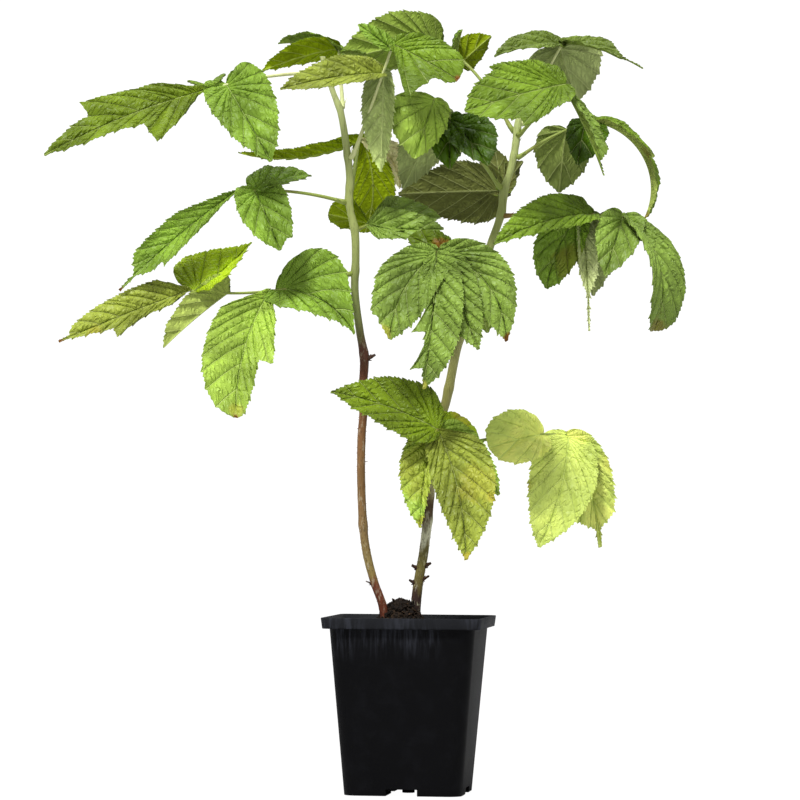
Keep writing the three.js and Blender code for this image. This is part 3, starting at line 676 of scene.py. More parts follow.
@dataclass(frozen=True)
class CanePath:
    """The centre line of a cane: rows of across, away from the front, up and radius."""

    rows: tuple[tuple[float, float, float, float], ...]

    def at(self, height: float) -> tuple[float, float, float]:
        """Gives the cane's middle and radius at a height.

        Args:
            height: Millimetres above the ground.

        Returns:
            Across, away from the front, and the radius.
        """
        last = len(self.rows) - 1
        i = 0
        while i < last - 1 and height > self.rows[i + 1][2]:
            i += 1
        low, high = self.rows[i], self.rows[i + 1]
        span = high[2] - low[2]
        t = min(max((height - low[2]) / span, 0.0), 1.0)

        def slope(k: int, axis: int) -> float:
            """Gives the slope at a row, over this span."""
            before, after = self.rows[max(k - 1, 0)], self.rows[min(k + 1, last)]
            return (after[axis] - before[axis]) / (after[2] - before[2]) * span

        def value(axis: int) -> float:
            """Gives the smooth value between the two rows."""
            return ((2 * t ** 3 - 3 * t ** 2 + 1) * low[axis]
                    + (t ** 3 - 2 * t ** 2 + t) * slope(i, axis)
                    + (3 * t ** 2 - 2 * t ** 3) * high[axis]
                    + (t ** 3 - t ** 2) * slope(i + 1, axis))

        return value(0), value(1), value(3)

    def point(self, height: float) -> Vector:
        """Gives the middle of the cane at a height."""
        x, y, _ = self.at(height)
        return Vector((x, y, height))


LEFT = CanePath((
    (-16, -3, 118, 4.2), (-23.5, -4, 163, 3.9), (-31, -5, 184, 3.75), (-37.5, -5, 208, 3.7),
    (-41, -6, 233, 3.7), (-43, -7, 273, 3.6), (-43, -8, 308, 3.6), (-41.5, -9, 334, 3.6),
    (-42, -9.5, 354, 3.7), (-41, -10, 380, 3.9), (-45, -11, 403, 3.5), (-49.5, -12, 438, 3.4),
    (-49, -13, 470, 3.4), (-50, -13.5, 491, 3.5), (-55, -14, 515, 3.3), (-54.5, -14.7, 534, 3.3),
    (-56, -15, 552, 3.2), (-63, -16, 595, 3.0), (-70, -17, 613, 2.6), (-79, -18, 643, 2.4),
))
RIGHT = CanePath((
    (3, 6, 118, 4.8), (5.5, 8, 163, 4.5), (8, 9, 186, 4.3), (12, 9.5, 209, 4.2),
    (15.5, 10.5, 240, 4.2), (17.5, 11.5, 271, 4.2), (19.5, 12.5, 291, 4.2), (25, 13.5, 323, 4.2),
    (31, 14, 343, 4.2), (40, 15.5, 388, 4.0), (46, 16, 406, 3.9), (70.5, 18.5, 484, 3.7),
    (78.5, 19, 508, 3.6), (81.5, 20, 531, 3.5), (86.5, 20.5, 546, 3.2), (90.5, 21, 565, 3.0),
    (93, 22, 587, 2.6), (95, 23, 604, 2.2),
))


@dataclass(frozen=True)
class SnagSpur:
    """One spur of a snag, in degrees from its compass and in shares of its reach and radius."""

    turn: float
    rise: float
    drop: float
    reach: float
    spare: float
    thick: float
    tip: float
    sides: int
    rough: float


SNAG_ROOT = 1.2
SNAG_SPURS = (
    SnagSpur(0, 28, 0, 1, SNAG_ROOT, 1.15, 0.5, 9, 0.55),
    SnagSpur(-30, -6, 0.5, 0.7, 0, 0.6, 0.15, 6, 0.4),
    SnagSpur(34, 50, 0, 0.8, 0, 0.55, 0.12, 6, 0.4),
)


class Skin(Enum):
    """The face numbers of a cane's materials."""

    BARK = 0
    SNAG = 1
    THORN = 2
    CUT = 3


@dataclass
class Cane:
    """One cane with its bark relief, nodes, snags, buds and bristles."""

    name: str
    path: CanePath
    finish: BarkFinish
    joints: tuple[float, ...]
    snags: tuple[tuple[float, float, float, float], ...]
    bristles: tuple[float, float, int]
    spines: tuple[tuple[float, float, float], ...]
    cut_colour: Colour
    seed: int
    foot: float = 118
    sides: int = 22
    ring: float = 1.8
    scale_relief: float = 0.16
    joint_swell: float = 0.55

    @property
    def top(self) -> float:
        """The height of the cane's cut end."""
        return self.path.rows[-1][2]

    def skin_point(self, height: float, compass: float, lift: float = 0.0) -> Vector:
        """Gives a point on the bark, or lifted off it, in millimetres."""
        x, y, radius = self.path.at(height)
        out = direction(compass, 0)
        return Vector((x, y, height)) + out * (radius + lift)

    def stem(self, bm: bmesh.types.BMesh) -> None:
        """Models the long stem: a ring drawn up step by step, then set on the centre line."""
        rings = round((self.top - self.foot) / self.ring)
        for vert in raise_tube(bm, self.sides, rings):
            height = self.foot + (self.top - self.foot) * vert.co.z / rings
            compass = math.degrees(math.atan2(vert.co.y, vert.co.x))
            swell = sum(self.joint_swell * bell(height, z + 2.0, 4.5) for z in self.joints)
            ridge = 0.05 * math.sin(math.radians(compass) * 5 + height * 0.02)
            spot = Vector((vert.co.x * 1.4, vert.co.y * 1.4, height * 0.055))
            spot += Vector((self.seed, 0, 0))
            low = 1.0 if height < self.finish.brown_below else 0.35
            scaly = self.scale_relief * low * noise.noise(spot * 2.2)
            fine = 0.08 * low * noise.noise(Vector((vert.co.x * 4, vert.co.y * 4, height * 0.5)))
            vert.co = self.skin_point(height, compass, swell + ridge + scaly + fine) * MM
        for face in bm.faces:
            cut = len(face.verts) > 4 and face.calc_center_median().z > self.foot * 2 * MM
            face.material_index = (Skin.CUT if cut else Skin.BARK).value

    def cone(self, bm: bmesh.types.BMesh, root: Vector, out: Vector, reach: float, thick: float,
             tip: float, sides: int, skin: Skin, rough: float = 0.0) -> None:
        """Adds one snag, bud or bristle that points out of the bark.

        Args:
            bm: The cane's mesh.
            root: Where it starts, in millimetres.
            out: The way it points.
            reach: Its length.
            thick: Its radius at the root.
            tip: Its radius at the end.
            sides: How many sides it has.
            skin: Its material.
            rough: How far its rings are shaken about.
        """
        steps = 5 if rough else 1
        verts = raise_tube(bm, sides, steps)
        for vert in verts:
            share = vert.co.z / steps
            radius = thick + (tip - thick) * share
            vert.co = Vector((vert.co.x * radius, vert.co.y * radius, (share - 0.5) * reach))
            vert.co += noise.noise_vector(vert.co * 0.9 + Vector((self.seed, root.z, 0))) * rough
        turn = out.to_track_quat("Z", "Y").to_matrix().to_4x4()
        move = Matrix.Translation(root + out * (reach / 2))
        bmesh.ops.transform(bm, matrix=Matrix.Scale(MM, 4) @ move @ turn, verts=verts)
        for face in {f for v in verts for f in v.link_faces}:
            face.material_index = skin.value

    def build(self) -> bpy.types.Object:
        """Builds the cane and returns its piece."""
        dice = random.Random(self.seed)
        bm = bmesh.new()
        self.stem(bm)
        for height, compass, reach, radius in self.snags:
            root = self.skin_point(height, compass, -SNAG_ROOT)
            for spur in SNAG_SPURS:
                self.cone(bm, root - UP * radius * spur.drop, direction(compass + spur.turn, spur.rise),
                          reach * spur.reach + spur.spare, radius * spur.thick, radius * spur.tip,
                          spur.sides, Skin.SNAG, spur.rough)
        low, high, count = self.bristles
        for _ in range(count):
            height = low + (high - low) * dice.random()
            compass = dice.uniform(0, 360)
            out = direction(compass, dice.uniform(-35, 15))
            self.cone(bm, self.skin_point(height, compass, -0.15), out, dice.uniform(0.5, 1.5),
                      dice.uniform(0.14, 0.26), 0.03, 4, Skin.THORN)
        for height, compass, reach in self.spines:
            self.cone(bm, self.skin_point(height, compass, -0.2), direction(compass, 8), reach,
                      0.5, 0.05, 6, Skin.THORN)
        smoothed(bm)
        for edge in bm.edges:
            if edge.is_manifold and edge.calc_face_angle(0.0) > math.radians(55):
                edge.smooth = False
        materials = [
            self.finish.material(),
            PlainBarkFinish("dead_bud", (44, 30, 22), (78, 52, 36)).material(),
            PlainBarkFinish("thorn", (104, 72, 44), (140, 104, 66)).material(),
            PlainBarkFinish(self.name + "_cut", self.cut_colour,
                            tuple(min(c + 22, 255) for c in self.cut_colour)).material(),
        ]
        return make_piece(self.name + "_bark", bm, materials, [self.name])


@dataclass(frozen=True)
class Blemish:
    """A patch of yellowed or browned blade, round a place on the grid of the blade."""

    layer: str
    along: float
    across: float
    size: float
    strength: float = 1.0

    def amount(self, ahead: float, aside: float, ragged: float) -> float:
        """Gives how strongly the patch shows at a place.

        Args:
            ahead: Millimetres along the blade from the middle of the patch.
            aside: Millimetres across the blade from it.
            ragged: What the patch's size is multiplied by there.

        Returns:
            The share of the patch's colour.
        """
        away = math.hypot(ahead, aside)
        return self.strength * min(max(1.5 - away / (self.size * ragged), 0.0) * 2, 1.0)


def yellow(along: float, across: float, size: float, strength: float = 0.8) -> Blemish:
    """A yellowed patch."""
    return Blemish("yellowing", along, across, size, strength)


def brown(along: float, across: float, size: float, strength: float = 0.95) -> Blemish:
    """A browned patch."""
    return Blemish("browning", along, across, size, strength)


@dataclass(frozen=True)
class Leaflet:
    """One toothed, pleated blade of a compound leaf.

    A lobe is a point of the margin: its side, its share of the length, how many half widths it
    stands out, and the shares of the length over which it rises and drops.
    """

    at: float
    length: float
    width: float
    heading: float
    rise: float
    faces: tuple[float, float]
    arch: float
    fold: float
    upper: Upper
    under: Under
    belly: float = 0.35
    cordate: float = 0.1
    skew: float = 0.0
    veer: float = 0.0
    neck: float = 0.0
    tail: float = 0.0
    lobes: tuple[tuple[int, float, float, float, float], ...] = ()
    blemishes: tuple[Blemish, ...] = ()
    ripple: float = 1.0
    pleat: float = 1.0

    STALK = 0.8
    SUNK = 1.6
    SLANT = 1.8
    TAIL_HALF = 0.06
    COLUMNS = (0.0, 0.035, 0.11, 0.22, 0.34, 0.46, 0.58, 0.7, 0.82, 0.92, 1.0)
    TEETH = (1.6, -0.6, -0.1, 0.3, 0.7, -0.5, 0.0, 0.6, -0.4, 0.1, 0.6, 1.1)
    TOOTH_SIZES = (0.6, 1.15)
    TEETH_ALONG, TEETH_ACROSS = 80, 62
    TOOTH_PITCH = 0.9
    THICKNESS = 0.4
    OUTLINE_STEPS = 600
    VEIN_SPACING = 10
    FEWEST_VEINS, MOST_VEINS = 5, 11
    SWELL, QUILT, RIB_DIP = 2.6, 0.6, 0.5
    SLOW_WAVE, EDGE_WAVE = 3.2, 3.4

    @property
    def veins(self) -> int:
        """How many side veins the blade has on each side."""
        return min(max(round(self.length / self.VEIN_SPACING), self.FEWEST_VEINS), self.MOST_VEINS)

    @property
    def rows(self) -> int:
        """How many rows of faces lie between the blade's foot and its tip."""
        return self.veins * len(self.TEETH)

    @cached_property
    def turns(self) -> list[float]:
        """The place on the outline of every row, 0 at the foot to 1 at the tip, evenly paced."""
        fine = [k / self.OUTLINE_STEPS for k in range(self.OUTLINE_STEPS + 1)]
        walked = [0.0]
        for before, after in zip(fine, fine[1:]):
            steps = [self.pace(before, after, side) for side in (1, -1)]
            walked.append(walked[-1] + (max(steps) + sum(steps)) / 3)
        paces = [bisect_left(walked, walked[-1] * row / self.rows) for row in range(self.rows)]
        return [fine[k] for k in paces] + [1.0]

    def pace(self, before: float, after: float, side: int) -> float:
        """Gives how far apart two places on the outline of one edge lie, in millimetres."""
        (half, reach), (next_half, next_reach) = (self.edge_at(t, side) for t in (before, after))
        return math.hypot((next_half - half) * self.width / 2, (next_reach - reach) * self.length)

    def lobe_rise(self, t: float, at: float, run: float, fall: float) -> float:
        """Gives how far out a lobe stands at a place on the outline, 1 at its point."""
        point = turn_of(at)
        if t <= point:
            return max(0.0, 1 - (point - t) / (point - turn_of(at - run))) ** 1.15
        return max(0.0, 1 - (t - point) / (turn_of(at + fall) - point))

    def body_at(self, t: float) -> tuple[float, float]:
        """Gives half the width and the forward reach of an even blade, both as shares."""
        turn = math.pi * t
        blunt = 1 + 0.9 * t * t if self.belly > 0 else 0.8
        half = 0.86 * max(math.sin(turn), 0.0) ** blunt * (1 + self.belly * math.cos(turn))
        reach = (1 - math.cos(turn)) / 2 - self.cordate * math.sin(turn) * (1 - t) ** 3
        if self.neck:
            half *= min(max(reach, 0.0) / self.neck, 1.0) ** 0.7
        return half, reach

    def edge_at(self, t: float, side: int) -> tuple[float, float]:
        """Gives half the width and the forward reach of one edge, both as shares.

        Args:
            t: The place on the outline, from 0 at the foot to 1 at the tip.
            side: Which half of the blade, 1 or -1.

        Returns:
            Half the width over half the leaflet's width, and the reach over its length.
        """
        half, reach = self.body_at(t)
        uneven = 0.05 * noise.noise(Vector((7.0 * t, 3.0 * side, self.length + self.heading)))
        half *= 1 + self.skew * side + uneven * min(1.0, 6 * t)
        for lobe_side, at, out, run, fall in self.lobes:
            rise = self.lobe_rise(t, at, run, fall) if lobe_side == side else 0.0
            half += out * rise
            reach += 0.03 * rise
        if self.tail:
            into = min(max((reach - 1 + self.tail) / (self.tail / 2), 0.0), 1.0)
            half += (min(half, self.TAIL_HALF) - half) * into * into * (3 - 2 * into)
        return half, reach

    def vein_foot(self, t: float) -> float:
        """Gives where the vein of a place on the outline leaves the midrib, as a share."""
        half, reach = self.body_at(t)
        slant = reach - self.SLANT * half * self.width / (2 * self.length)
        least = 0.16 * t ** 1.2
        ease = 0.05 * min(1.0, 5 * t)
        return 0.5 * (slant + least + math.hypot(slant - least, ease))

    def tooth(self, row: int, side: int) -> float:
        """Gives how far the margin stands out at a row, in millimetres."""
        if row in (0, self.rows):
            return 0.0
        pitch = self.pace(self.turns[row - 1], self.turns[row + 1], side) / 2
        least, most = self.TOOTH_SIZES
        even = max(self.length / self.TEETH_ALONG, self.width / self.TEETH_ACROSS, least)
        size = min(even, most) * min(1.0, pitch / self.TOOTH_PITCH)
        jitter = 1 + 0.9 * noise.noise(Vector((row * 0.83, side * 7.0, self.length)))
        slimmer = 1 - 0.5 * self.turns[row] ** 6
        return self.TEETH[row % len(self.TEETH)] * size * jitter * slimmer

    def openness(self, row: int, spread: float) -> float:
        """Gives how far apart the side veins run here: 0 where they crowd, 1 from 5 mm on."""
        feet = [self.vein_foot(self.turns[min(max(r, 0), self.rows)]) for r in (row - 2, row + 2)]
        at_rib = (feet[1] - feet[0]) / 4 * self.length * len(self.TEETH)
        at_edge = self.length / self.veins
        gap = at_rib + (at_edge - at_rib) * spread
        return min(max((gap - 1.0) / 5.0, 0.0), 1.0)

    def relief(self, phase: float, t: float, v: float, lateral: float, openness: float) -> float:
        """Gives how far the blade bulges up between its veins, in millimetres.

        Args:
            phase: How many side veins lie below.
            t: The place on the outline.
            v: The column, from -1 to 1.
            lateral: Millimetres from the midrib.
            openness: How far apart the veins run.

        Returns:
            The lift of the blade.
        """
        swell = abs(math.sin(math.pi * phase)) ** 0.7
        body = openness * min(1.0, lateral / 3.0) * (1 - 0.35 * abs(v) ** 3) * min(1.0, 5 * (1 - t))
        groove = -self.RIB_DIP * math.exp(-((lateral / 1.3) ** 2)) * (1 - t)
        quilt = noise.noise(Vector((phase * 2.6, v * 9.0, self.length + self.heading)))
        return self.pleat * body * (self.SWELL * swell + self.QUILT * quilt) + groove

    def drift(self, t: float, v: float) -> float:
        """Gives the slow waves of the blade, strongest along its margin, in millimetres."""
        seed = Vector((self.heading * 0.1, self.length * 0.2, self.rise * 0.1))
        slow = noise.noise(Vector((t * 2.6, v * 1.3, 0.0)) + seed)
        edge = noise.noise(Vector((t * 7.5, v * 0.7, 4.0)) + seed)
        size = min(self.length / 90, 1.2) * self.ripple
        fade = math.sin(math.pi * min(t * 1.2, 1)) ** 0.5
        return size * (self.SLOW_WAVE * slow * abs(v) + self.EDGE_WAVE * edge * abs(v) ** 2.5) * fade

    def grow(self, bm: bmesh.types.BMesh, stalk: "Stalk", slots: tuple[int, int]) -> None:
        """Adds the blade to a mesh: a grid laid on the leaf's rule and given its thickness.

        Args:
            bm: The mesh of the compound leaf's blades.
            stalk: The stalk that the blade grows from.
            slots: Material numbers of the upper face and the underside.
        """
        along = direction(self.heading, self.rise)
        face = direction(*self.faces)
        face = (face - along * face.dot(along)).normalized()
        columns = 2 * (len(self.COLUMNS) - 1)
        verts = bmesh.ops.create_grid(bm, x_segments=self.rows, y_segments=columns, size=0.5)["verts"]
        places = self.lay(bm, verts, stalk, along, face)
        faces = unique(f for v in verts for f in v.link_faces)
        grid = bm.loops.layers.uv["VeinGrid"]
        for loop in (loop for f in faces for loop in f.loops):
            loop[grid].uv = places[loop.vert]
        bmesh.ops.recalc_face_normals(bm, faces=faces)
        middle = sum((f.normal * f.calc_area() for f in faces), Vector())
        if middle.dot(face) < 0:
            bmesh.ops.reverse_faces(bm, faces=faces)
        self.thicken(bm, faces, slots)

    def lay(self, bm: bmesh.types.BMesh, verts: list[bmesh.types.BMVert], stalk: "Stalk",
            along: Vector, face: Vector) -> dict[bmesh.types.BMVert, tuple[float, float]]:
        """Lays a flat grid on the rule of the blade and marks its veins and blemishes.

        Args:
            bm: The mesh of the compound leaf's blades.
            verts: The vertices of the grid, one unit wide and long.
            stalk: The stalk that the blade grows from.
            along: The way the midrib runs.
            face: The way the upper face looks, square to the midrib.

        Returns:
            The place of each vertex on the vein grid.
        """
        marks = {name: bm.verts.layers.float[name] for name in BLADE_LAYERS}
        across = face.cross(along)
        arch, fold = math.radians(self.arch), math.radians(self.fold)
        outset = along * math.cos(arch / 2) + face * math.sin(arch / 2)
        start = stalk.point(self.at) - outset * self.SUNK
        radius = self.length / (2 * math.sin(arch / 2))
        last = len(self.COLUMNS) - 1
        places: dict[bmesh.types.BMVert, tuple[float, float]] = {}
        for vert in verts:
            row = round((vert.co.x + 0.5) * self.rows)
            column = round(vert.co.y * 2 * last)
            side = 1 if column >= 0 else -1
            t, spread = self.turns[row], self.COLUMNS[abs(column)]
            half, reach = self.edge_at(t, side)
            width = self.STALK * (1 - 0.85 * t) + half * self.width / 2
            tooth = self.tooth(row, side) if abs(column) == last else 0.0
            lateral = max(width * spread + tooth, 0.0)
            foot = self.vein_foot(t)
            reach = foot + (reach - foot) * spread * (0.85 + 0.15 * spread)
            reach += max(tooth, 0.0) * 0.8 / self.length
            angle = arch * (reach - 0.5)
            forward = radius * (math.sin(arch / 2) + math.sin(angle))
            lift = radius * (math.cos(angle) - math.cos(arch / 2))
            outward = face * math.cos(angle) + along * math.sin(angle)
            shift = self.veer * 4 * reach * (1 - reach)
            phase = row / len(self.TEETH)
            openness = self.openness(row, spread)
            vert[marks["openness"]] = openness
            bulge = self.relief(phase, t, spread * side, lateral, openness)
            bulge += self.drift(t, spread * side)
            spot = (start + along * forward + face * lift
                    + across * (-math.cos(fold) * lateral * side - shift)
                    + outward * (math.sin(fold) * lateral + bulge))
            vert.co = spot * MM
            places[vert] = (phase, lateral * side)
            for mark in self.blemishes:
                layer = marks[mark.layer]
                vert[layer] = max(vert[layer], mark.amount(
                    (reach - mark.along) * self.length, lateral * side - mark.across * self.width / 2,
                    1 + 0.5 * noise.noise(spot * 0.16)))
        return places

    def thicken(self, bm: bmesh.types.BMesh, faces: list[bmesh.types.BMFace],
                slots: tuple[int, int]) -> None:
        """Gives the laid blade its thickness and its two materials.

        Args:
            bm: The mesh of the compound leaf's blades.
            faces: The faces of the blade, which become its underside.
            slots: Material numbers of the upper face and the underside.
        """
        rim = {e for f in faces for e in f.edges if e.is_boundary}
        lifted = bmesh.ops.extrude_face_region(bm, geom=faces)["geom"]
        tops = [g for g in lifted if isinstance(g, bmesh.types.BMFace)]
        shell = [g for g in lifted if isinstance(g, bmesh.types.BMVert)]
        for part in (*tops, *shell):
            part.normal_update()
        lifts = {v: v.normal.copy() for v in shell}
        for vert, way in lifts.items():
            vert.co += way * self.THICKNESS * MM
        walls = {f for v in shell for f in v.link_faces} - set(tops)
        for group, slot in ((faces, slots[1]), (tops, slots[0]), (walls, slots[0])):
            for f in group:
                f.material_index = slot
        for f in walls:
            for edge in f.edges:
                edge.smooth = edge not in rim and sum(1 for g in edge.link_faces if g in walls) == 2


@dataclass(frozen=True)
class Stalk:
    """The stalk of a compound leaf, from its cane to the foot of its end leaflet."""

    path: CanePath
    up: float
    side: float
    heading: float
    rise: float
    length: float
    bow: float

    BASE = 1.7
    FLESH = (1.9, 1.15)
    COLLAR = (0.9, 5.0)
    GRIP = (1.6, 3.0)
    CHANNEL = 0.22
    SIDES = 5
    CLEARANCE = 0.3
    FACET = 0.94

    @property
    def run(self) -> Vector:
        """The straight line from the stalk's foot to its end."""
        return direction(self.heading, self.rise) * self.length

    def foot(self) -> Vector:
        """Finds where the stalk starts, its end ring a hair clear of the cane.

        Returns:
            The middle of the end ring.
        """
        x, y, radius = self.path.at(self.up)
        axis, side = Vector((x, y, self.up)), direction(self.side, 0)
        along = (self.run + UP * 4 * self.bow).normalized()
        across = along.cross(UP).normalized()
        upward = across.cross(along)
        reach = radius + self.CLEARANCE
        for _ in range(6):
            nearest = math.inf
            for k in range(self.SIDES):
                angle = k / self.SIDES * 2 * math.pi
                offset = across * math.sin(angle) + upward * math.cos(angle)
                spot = axis + side * reach + offset * self.BASE
                cx, cy, skin = self.path.at(spot.z)
                nearest = min(nearest, math.hypot(spot.x - cx, spot.y - cy) - skin * self.FACET)
            reach += self.CLEARANCE - nearest
        return axis + side * reach

    def point(self, t: float) -> Vector:
        """Gives a point of the stalk, from 0 at the cane to 1 at its end."""
        return self._start + self.run * t + UP * self.bow * 4 * t * (1 - t)

    def __post_init__(self) -> None:
        """Keeps the foot, which every point is measured from."""
        object.__setattr__(self, "_start", self.foot())

    def grow(self, bm: bmesh.types.BMesh, sides: int = 10, rings: int = 26) -> None:
        """Models the stalk: a tapering cylinder with a swollen foot that grips the cane.

        Args:
            bm: The mesh to add it to.
            sides: Faces round it.
            rings: Cuts along it.
        """
        raise_tube(bm, sides, rings)
        hold = self.path.point(self.up) - self.point(0)
        for vert in bm.verts:
            t = vert.co.z / rings
            ahead = (self.point(min(t + 0.01, 1)) - self.point(max(t - 0.01, 0))).normalized()
            across = ahead.cross(UP).normalized()
            upward = across.cross(ahead)
            radius = self.FLESH[1] + (self.FLESH[0] - self.FLESH[1]) * (1 - t) ** 1.2
            radius += self.COLLAR[0] * bell(t * self.length, 0.0, self.COLLAR[1])
            groove = 1 - self.CHANNEL * max(vert.co.y, 0.0) ** 4
            sink = hold.normalized() * self.GRIP[0] * bell(t * self.length, 0.0, self.GRIP[1])
            spot = self.point(t) + sink
            vert.co = (spot + (across * vert.co.x + upward * vert.co.y * groove) * radius) * MM


class Stipules:
    """The pair of narrow scales at the foot of a leaf stalk."""

    LENGTH = 7.0
    WIDTH = 1.1

    def grow(self, bm: bmesh.types.BMesh, stalk: Stalk) -> None:
        """Adds the pair to the mesh of the stalk."""
        ahead = stalk.run.normalized()
        across = ahead.cross(UP).normalized()
        for side in (-1, 1):
            out = (ahead * 0.7 + across * side * 0.55 + UP * 0.45).normalized()
            root = stalk.point(0) + ahead * 4.0 + across * side * 1.2
            made = bmesh.ops.create_cone(bm, cap_ends=True, cap_tris=False, segments=6,
                                         radius1=self.WIDTH, radius2=0.1, depth=self.LENGTH)
            turn = out.to_track_quat("Z", "Y").to_matrix().to_4x4()
            flat = Matrix.Diagonal((1.0, 0.32, 1.0, 1.0))
            move = Matrix.Translation(root + out * self.LENGTH / 2)
            matrix = Matrix.Scale(MM, 4) @ move @ turn @ flat
            bmesh.ops.transform(bm, matrix=matrix, verts=made["verts"])


@dataclass
class CompoundLeaf:
    """A compound leaf: its stalk with stipules, and two to six leaflets."""

    name: str
    path: CanePath
    up: float
    side: float
    heading: float
    rise: float
    length: float
    bow: float
    tone: Stem
    leaflets: tuple[Leaflet, ...]
    stalk: Stalk = field(init=False)

    def __post_init__(self) -> None:
        """Sets the stalk on its cane."""
        self.stalk = Stalk(self.path, self.up, self.side, self.heading, self.rise, self.length,
                           self.bow)

    def build_blades(self) -> bpy.types.Object:
        """Builds the leaflets as one piece and returns it."""
        bm = bmesh.new()
        bm.loops.layers.uv.new("VeinGrid")
        for layer in BLADE_LAYERS:
            bm.verts.layers.float.new(layer)
        finishes: list[LeafFinish] = []
        for leaflet in self.leaflets:
            pair = (LeafFinish(leaflet.upper, Face.UPPER), LeafFinish(leaflet.under, Face.UNDER))
            for finish in pair:
                if finish not in finishes:
                    finishes.append(finish)
            leaflet.grow(bm, self.stalk, (finishes.index(pair[0]), finishes.index(pair[1])))
        smoothed(bm)
        return make_piece(self.name + "_blades", bm, [f.material() for f in finishes], [self.name])

    def build_stalk(self) -> bpy.types.Object:
        """Builds the stalk and its stipules as one piece and returns it."""
        bm = bmesh.new()
        self.stalk.grow(bm)
        Stipules().grow(bm, self.stalk)
        smoothed(bm)
        return make_piece(self.name + "_stalk", bm, [StalkFinish(self.tone).material()], [self.name])


def rounded_square(bm: bmesh.types.BMesh, width: float, corner: float, height: float,
                   segments: int = 7) -> list[bmesh.types.BMEdge]:
    """Adds the outline of a square with round corners.

    Args:
        bm: The mesh to add it to.
        width: Width across the flats, in millimetres.
        corner: Radius of the corners.
        height: Height of the outline.
        segments: Edges round each corner.

    Returns:
        The edges of the loop.
    """
    made = bmesh.ops.create_circle(bm, cap_ends=False, segments=4 * segments + 4, radius=1.0)
    half = width / 2 - corner
    for vert in made["verts"]:
        angle = math.atan2(vert.co.y, vert.co.x) % (2 * math.pi)
        place = round(angle / (2 * math.pi) * (4 * segments + 4)) % (4 * segments + 4)
        quarter, step = divmod(place, segments + 1)
        turn = math.radians(90 * quarter + 90 * step / segments)
        middle = math.radians(90 * quarter + 45)
        x = math.copysign(half, math.cos(middle)) + corner * math.cos(turn)
        y = math.copysign(half, math.sin(middle)) + corner * math.sin(turn)
        vert.co = Vector((x, y, height)) * MM
    return unique(e for v in made["verts"] for e in v.link_edges)


